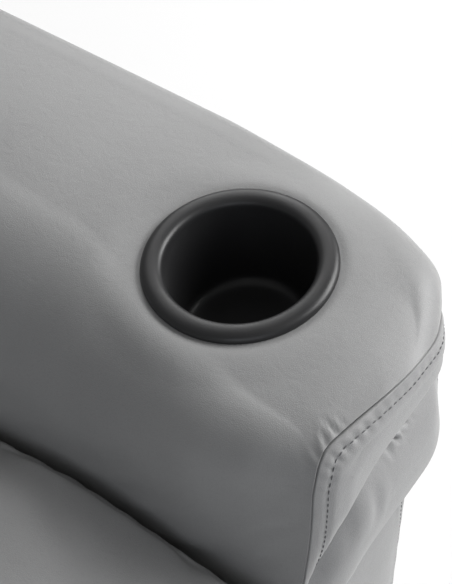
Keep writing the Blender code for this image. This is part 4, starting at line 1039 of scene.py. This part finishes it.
def read_vectors(items, key="vector"):
    """One vector for each item of a mesh, as an array."""
    flat = np.empty(len(items) * 3, np.float32)
    items.foreach_get(key, flat)
    return flat.reshape(-1, 3).astype(float)


def coordinates(mesh):
    """A mesh's vertex places."""
    return read_vectors(mesh.vertices, "co")


def move_to(mesh, places):
    """Writes vertex places back to a mesh."""
    mesh.vertices.foreach_set("co", np.asarray(places, np.float32).ravel())
    mesh.update()


# %% Simulation of a cushion
CLOTH_FRAMES, CLOTH_SHRINK = 20, -0.015
HOLD_LEVELS = (0.25, 0.5, 0.75, 1.0)


def inflate(obj, held, cap_mm, pressure):
    """Swells a closed mesh as cloth. held gives each vertex's hold from 0 to 1."""
    rest = coordinates(obj.data)
    group = obj.vertex_groups.new(name="held")
    for weight in HOLD_LEVELS:
        chosen = np.nonzero(np.abs(held - weight) <= 0.125)[0]
        group.add(chosen.tolist(), weight, "REPLACE")
    cloth = obj.modifiers.new("leather cloth", "CLOTH")
    settings = cloth.settings
    settings.quality = 5
    settings.mass = 0.4
    settings.tension_stiffness = settings.compression_stiffness = 18.0
    settings.bending_stiffness = 0.6
    settings.use_pressure = True
    settings.uniform_pressure_force = pressure
    settings.shrink_min = CLOTH_SHRINK
    settings.effector_weights.gravity = 0.0
    settings.vertex_group_mass = "held"
    settings.pin_stiffness = 1.0
    cloth.collision_settings.use_collision = False
    cloth.collision_settings.use_self_collision = False
    cloth.point_cache.frame_start, cloth.point_cache.frame_end = 1, CLOTH_FRAMES
    for number in range(1, CLOTH_FRAMES + 1):
        bpy.context.scene.frame_set(number)
    swollen = coordinates(obj.evaluated_get(bpy.context.evaluated_depsgraph_get()).data)
    bpy.context.scene.frame_set(1)
    obj.modifiers.clear()
    obj.vertex_groups.clear()
    move = swollen - rest
    far = np.linalg.norm(move, axis=1, keepdims=True)
    cap = cap_mm * MM
    move *= np.tanh(far / cap) * cap / np.maximum(far, 1e-9)
    move_to(obj.data, rest + move)
    print(obj.name, "moved at most", round(float(np.linalg.norm(move, axis=1).max() * 1000), 1), "mm")


# %% [markdown]
# Each cushion starts as a rounded box of quads that lie closer together at its seams, which run
# along the box's edges. A remesh of the plain solid would lose those seams. Each vertex keeps its
# share of the box, from -1 to 1 on each axis, as an attribute, so that seams, sewn channels and
# stitches can find their places again after the cloth has moved.

# %% The box of a cushion
LEAN = math.radians(12.0)
BACK_HINGE = np.array([0.0, 0.262871, 0.330])


def turned_back(points, lean):
    """Places in a leaned cushion's own axes as places in the chair."""
    c, s = math.cos(lean), math.sin(lean)
    y, z = points[..., 1] - BACK_HINGE[1], points[..., 2] - BACK_HINGE[2]
    return np.stack([points[..., 0], BACK_HINGE[1] + y * c + z * s, BACK_HINGE[2] - y * s + z * c], axis=-1)


def own_box(node, lean):
    """A CAD node's lowest and highest corners in its own leaned axes."""
    places = turned_back(coordinates(NODES[node].data), -lean)
    return places.min(axis=0), places.max(axis=0)


def marks(half_mm, spacing_mm):
    """Shares from -1 to 1 across a side: close beside both seams and even between them."""
    near = [0.0, 1.6, 3.4, 5.6, 8.4, 12.0]
    count = max(int(round(2 * (half_mm - near[-1]) / spacing_mm)), 2)
    middle = np.linspace(near[-1], 2 * half_mm - near[-1], count + 1)
    line = np.r_[near[:-1], middle, 2 * half_mm - np.array(near[:-1])[::-1]]
    return line / half_mm - 1.0


def box_grid(name, low, high, radius_mm, spacing_mm, shape, lean=0.0):
    """A closed box of quads with rounded edges. shape moves places by their shares."""
    middle, half = (low + high) / 2, (high - low) / 2
    lines = [marks(h / MM, spacing_mm) for h in half]
    counts = [len(line) for line in lines]
    quads = []
    for axis in range(3):
        u, v = (axis + 1) % 3, (axis + 2) % 3
        for end in (0, counts[axis] - 1):
            i, j = np.meshgrid(np.arange(counts[u]), np.arange(counts[v]), indexing="ij")
            index = np.empty((3, *i.shape), int)
            index[axis], index[u], index[v] = end, i, j
            key = (index[0] * counts[1] + index[1]) * counts[2] + index[2]
            face = np.stack([key[:-1, :-1], key[1:, :-1], key[1:, 1:], key[:-1, 1:]], axis=-1).reshape(-1, 4)
            quads.append(face if end else face[:, ::-1])
    keys, faces = np.unique(np.concatenate(quads), return_inverse=True)
    faces = faces.reshape(-1, 4)
    across, up = counts[1], counts[2]
    place = np.stack([keys // (across * up), keys // up % across, keys % up], axis=-1)
    shares = np.stack([lines[k][place[:, k]] for k in range(3)], axis=-1)
    flat = shares * half
    core = np.clip(flat, radius_mm * MM - half, half - radius_mm * MM)
    points = middle + core + unit(flat - core) * radius_mm * MM
    points = turned_back(shape(shares, points), lean)
    obj = new_object(name, points, faces.tolist())
    attribute = obj.data.attributes.new("share", "FLOAT_VECTOR", "POINT")
    attribute.data.foreach_set("vector", shares.astype(np.float32).ravel())
    return obj, shares


# %% [markdown]
# The leather is cut larger than the foam and gathered into the seams. So beside each seam it dips,
# swells again and puckers slightly, at right angles to the seam. The dip and the puckers are added
# after the cloth, because they are finer than its quads.

# %% Seams, puckers and channels
SEAM_DIP, SEAM_PUCKER = 1.7, 0.55


def seam_distance(shares, half_mm):
    """Millimetres from each vertex to the nearest edge of its box, and the place along that edge."""
    gaps = (1.0 - np.abs(shares)) * half_mm
    order = np.argsort(gaps, axis=1)
    second = np.take_along_axis(gaps, order[:, 1:2], 1)[:, 0]
    along_axis = order[:, 2]
    along = np.take_along_axis(shares * half_mm, along_axis[:, None], 1)[:, 0]
    return second, along


def dress_seams(obj, half_mm, channels, seed, plain):
    """Adds the seams' dips, their puckers and the sewn channels. plain 1 leaves the top's sides unsewn."""
    mesh = obj.data
    shares = read_vectors(mesh.attributes["share"].data)
    d, along = seam_distance(shares, half_mm)
    rng = np.random.default_rng(seed)
    waves = rng.uniform(4.0, 9.0, 5), rng.uniform(0.0, 6.28, 5)
    pucker = sum(np.sin(along / size + turn) for size, turn in zip(*waves)) / 3.0
    push = -SEAM_DIP * bell(d, 2.6) + 0.45 * SEAM_DIP * bell(d - 7.5, 4.0)
    push += SEAM_PUCKER * pucker * bell(d - 6.0, 6.5)
    push *= 1.0 - plain * step(shares[:, 2], 0.2, 0.8) * step(-np.abs(shares[:, 1]), -0.97, -0.9)
    front = step(-shares[:, 1], 0.75, 0.97)
    top, rear = step(shares[:, 2], 0.75, 0.97), step(shares[:, 1], 0.75, 0.97)
    for axis, share, width, depth, face in channels:
        away = (shares[:, axis] - share) * half_mm[axis]
        weight = {"front": front, "top": top, "rear": rear}[face]
        run = 0 if axis else 2
        ripple = 1.0 + 0.16 * np.sin(shares[:, run] * half_mm[run] / 5.3 + 2.0 * share)
        valley = bell(away, 2.2) * 0.35 + bell(away, width) * 0.65
        push -= depth * valley * ripple * weight
    move_to(mesh, coordinates(mesh) + read_vectors(mesh.vertex_normals) * (push * MM)[:, None])


def on_cushion(obj, targets, lift_mm=0.35):
    """Places on a cushion's surface at given shares of its box."""
    mesh = obj.data
    points, normals = coordinates(mesh), read_vectors(mesh.vertex_normals)
    shares = read_vectors(mesh.attributes["share"].data)
    tree = KDTree(len(shares))
    for i, share in enumerate(shares):
        tree.insert(share, i)
    tree.balance()
    found = []
    for target in targets:
        near = tree.find_n(target, 4)
        weights = np.array([1.0 / (distance + 1e-5) for _, _, distance in near])
        rows = [index for _, index, _ in near]
        weights = weights[:, None] / weights.sum()
        outward = unit((normals[rows] * weights).sum(axis=0))
        found.append((points[rows] * weights).sum(axis=0) + lift_mm * MM * outward)
    return np.array(found)


# %% [markdown]
# The table below holds what differs between the padded pieces, in millimetres. grow moves the six
# sides of the CAD box: the low x and the three high sides outward, the front and bottom inward.
# bulge crowns the faces across x, y and z, pinch draws the sides in, and cap limits the cloth's
# move. A channel is (axis, share, width, depth, face). side is -1 where the front face swells and
# 1 where the rear face does, and rim names the face that carries the topstitching.

# %% Table of the cushions
USUAL = dict(
    body="backrest", lean=LEAN, radius=24.0, spacing=8.0, cap=16.0, pressure=4.0, fill=0.8, channels=(),
    rim="front", side=-1,
)
BOLSTER = dict(radius=22.0, bulge=(6.0, 5.0, 5.0), pinch=2.0, cap=10.0, pressure=3.0)
OWN = {
    "seat_cushion": dict(
        body="seat", lean=0.0, grow=(4.8, 0.0, 1.0, 4.8, 0.0, 10.5), radius=9.0, spacing=9.0,
        bulge=(1.0, 7.0, 3.0), pinch=0.0, cap=8.0, pressure=2.0, fill=0.85,
    ),
    "footrest_pad": dict(
        body="footrest", lean=0.0, grow=(0.0, 6.0, 2.0, 0.0, 0.0, -2.0), radius=13.0,
        bulge=(1.0, 5.0, 1.0), pinch=2.0, cap=9.0, pressure=3.0, channels=((2, 0.0, 12.0, 9.0, "front"),),
    ),
    "lumbar_cushion": dict(grow=(-3.0, 16.0, 3.0, -3.0, 0.0, -3.0), bulge=(2.0, 16.0, 5.0), pinch=5.0),
    "upper_back_cushion": dict(
        grow=(-2.0, 16.0, 3.0, -2.0, 0.0, -3.0), bulge=(2.0, 16.0, 5.0), pinch=5.0,
        channels=((0, 0.0, 14.0, 6.0, "front"),),
    ),
    "headrest_cushion": dict(
        grow=(-2.0, 16.0, 3.0, -2.0, 0.0, -4.0), radius=28.0, bulge=(2.0, 14.0, 8.0), pinch=6.0,
    ),
    "back_bolster_left": dict(BOLSTER, grow=(0.0, 2.0, 2.0, -2.0, -2.0, -2.0)),
    "back_bolster_right": dict(BOLSTER, grow=(-2.0, 2.0, 2.0, 0.0, -2.0, -2.0)),
    "back_outer_panel": dict(
        grow=(0.0, 0.0, 0.0, 0.0, 1.0, 0.0), radius=9.0, spacing=12.0, bulge=(0.5, 6.0, 0.5), pinch=1.0,
        cap=6.0, pressure=1.2, fill=0.5, rim="rear", side=1,
        channels=((0, -0.46, 5.0, 1.6, "rear"), (0, 0.46, 5.0, 1.6, "rear")),
    ),
    "back_flap": dict(
        grow=(0.0, 0.0, 0.0, 0.0, 0.0, 0.0), radius=4.0, spacing=12.0, bulge=(0.0, 2.0, 0.0), pinch=0.0,
        cap=3.0, pressure=0.8, fill=0.3,
    ),
}
CUSHIONS = {node: {**USUAL, **own} for node, own in OWN.items()}

# %% [markdown]
# Before the cloth, each box is crowned by its bulge and drawn in by its pinch. The seat's top isn't
# level: people have sat on it, so SEAT_SETTLE (y, drop) lowers it from front to rear and its middle
# sags, and its sides draw in low down, beside the side plates.

# %% Shapes before the cloth
SEAT_SETTLE = [
    (-430, 27), (-400, 20), (-370, 14), (-340, 9), (-310, 5), (-280, 1.5), (-262, 0), (-235, 0.5),
    (-186, 6), (-100, 13), (190, 16),
]
SEAT_SAG = 14.0
SEAT_WAIST, WAIST_BLEND, WAIST_DRAW = 0.385, 0.030, 0.0085


def settle_seat(shares, places):
    """Draws the seat's lower sides in and lowers its top, in place."""
    places[:, 0] -= shares[:, 0] * WAIST_DRAW * step(SEAT_WAIST - places[:, 2], 0.0, WAIST_BLEND)
    drop = table(places[:, 1] * 1000.0, SEAT_SETTLE) + SEAT_SAG * (1.0 - shares[:, 0] ** 2)
    places[:, 2] -= drop * MM * (shares[:, 2] > 0.0) * step(shares[:, 2], 0.0, 0.9)


def cushion_shape(node, settings):
    """A function that crowns a cushion's faces and draws its sides in between its corners."""
    bulge, pinch = np.array(settings["bulge"]) * MM, settings["pinch"] * MM

    def shape(shares, points):
        rise = 1.0 - shares**2
        moved = points.copy()
        for axis in range(3):
            others = [k for k in range(3) if k != axis]
            swell = bulge[axis] * rise[:, others[0]] * rise[:, others[1]]
            if axis == 1:
                swell = swell * (shares[:, 1] * settings["side"] > 0.0)
            if axis == 2 and node != "headrest_cushion":
                swell = swell * (shares[:, 2] > 0.0)
            edge = np.abs(shares[:, others]).max(axis=1) ** 4
            drawn = pinch * edge * np.minimum(rise[:, others[0]] + rise[:, others[1]], 1.0) * (axis != 2)
            moved[:, axis] += shares[:, axis] * np.abs(shares[:, axis]) * (swell - drawn)
        if node == "seat_cushion":
            settle_seat(shares, moved)
        return moved

    return shape


# %% Rows of topstitching
STITCH_INSET, CHANNEL_OFFSET = 7.0, 5.5
RIM_FACES = {"front": (0, 2, 1, -1.0), "rear": (0, 2, 1, 1.0), "top": (0, 1, 2, 1.0)}


def seam_rows(settings, half_mm):
    """Shares along the rows of topstitching: round the panel inside its seam, and beside the channels."""
    u, v, face, level = RIM_FACES[settings["rim"]]
    a, b = 1.0 - STITCH_INSET / half_mm[u], 1.0 - STITCH_INSET / half_mm[v]
    corners = [(-a, -b), (a, -b), (a, b), (-a, b), (-a, -b)]
    ring = np.concatenate([
        np.linspace(start, end, 90, endpoint=False) for start, end in zip(corners, corners[1:])
    ] + [[corners[-1]]])
    lines = [ring]
    for axis, share, _, _, _ in settings["channels"]:
        if axis in (u, v):
            across = np.linspace(-0.95, 0.95, 110)
            for offset in (-CHANNEL_OFFSET, CHANNEL_OFFSET):
                level_at = np.full(110, share + offset / half_mm[axis])
                lines.append(np.stack([level_at, across] if axis == u else [across, level_at], axis=-1))
    rows = []
    for line in lines:
        full = np.empty((len(line), 3))
        full[:, u], full[:, v], full[:, face] = line[:, 0], line[:, 1], level
        rows.append(full)
    return rows


# %% Sewing and filling the cushions
SEAM_HOLD, HOLD_REACH = 0.75, 5.0
BACKED = -0.98


def make_cushion(seed, node, settings):
    """Builds one padded piece: the box, the cloth, its seams and its stitches."""
    low, high = own_box(node, settings["lean"])
    grow = np.array(settings["grow"]) * MM
    low, high = low + grow[:3] * (-1, 1, 1), high + grow[3:]
    half_mm = (high - low) / 2 / MM
    name = node.replace("_cushion", "").replace("_pad", "")
    cushion, shares = box_grid(
        name + "_leather", low, high, settings["radius"], settings["spacing"],
        cushion_shape(node, settings), settings["lean"],
    )
    held = SEAM_HOLD * bell(seam_distance(shares, half_mm)[0], HOLD_REACH)
    outer = shares[:, 2] if node == "seat_cushion" else shares[:, 1] * settings["side"]
    inflate(cushion, np.where(outer < BACKED, 1.0, held), settings["cap"], settings["pressure"])
    fine = cushion.modifiers.new("fine", "SUBSURF")
    fine.levels = fine.render_levels = 1
    bake_modifiers(cushion)
    plain = float(node == "seat_cushion")
    dress_seams(cushion, half_mm, settings["channels"], seed, plain)
    rows = [on_cushion(cushion, row) for row in seam_rows(settings, half_mm)]
    cushion.data.attributes.remove(cushion.data.attributes["share"])
    finish_piece(cushion, GREY_LEATHER, settings["body"], (node,))
    sew(name + "_stitches", rows, settings["body"])
    print(cushion.name, "faces", len(cushion.data.polygons))


for seed, (node, settings) in enumerate(CUSHIONS.items()):
    make_cushion(seed, node, settings)

# %% [markdown]
# ## Frame and mechanism
#
# The CAD nodes of the frame and the linkage have their true shapes, so they stay, and only take
# their finishes: pine with its grain along each board, black painted links and grey spring wire.

# %% Finishes of the CAD nodes


def repaint(words, material):
    """Gives a material to each showing CAD node whose name starts with one of the words."""
    names = [n for n in NODES if n.startswith(words)]
    for name in names:
        NODES[name].data.materials.clear()
        NODES[name].data.materials.append(material)
    return names


painted = repaint(("arm_frame",), PINE_ALONG[1])
painted += repaint(("front_rail", "rear_rail", "seat_rail", "back_rail", "footrest_board"), PINE_ALONG[0])
painted += repaint(("back_stile",), PINE_ALONG[2])
painted += repaint(("foot_", "lever_collar", "release_lever"), BLACK_PLASTIC)
painted += repaint((
    "side_plate", "drive_", "long_link", "short_link", "cross_link", "outer_link", "footrest_bracket",
    "seat_bracket", "front_hanger", "back_bracket",
), PAINTED_STEEL)
painted += repaint(("seat_spring",), SPRING_WIRE)
print(len(painted), "CAD nodes finished")
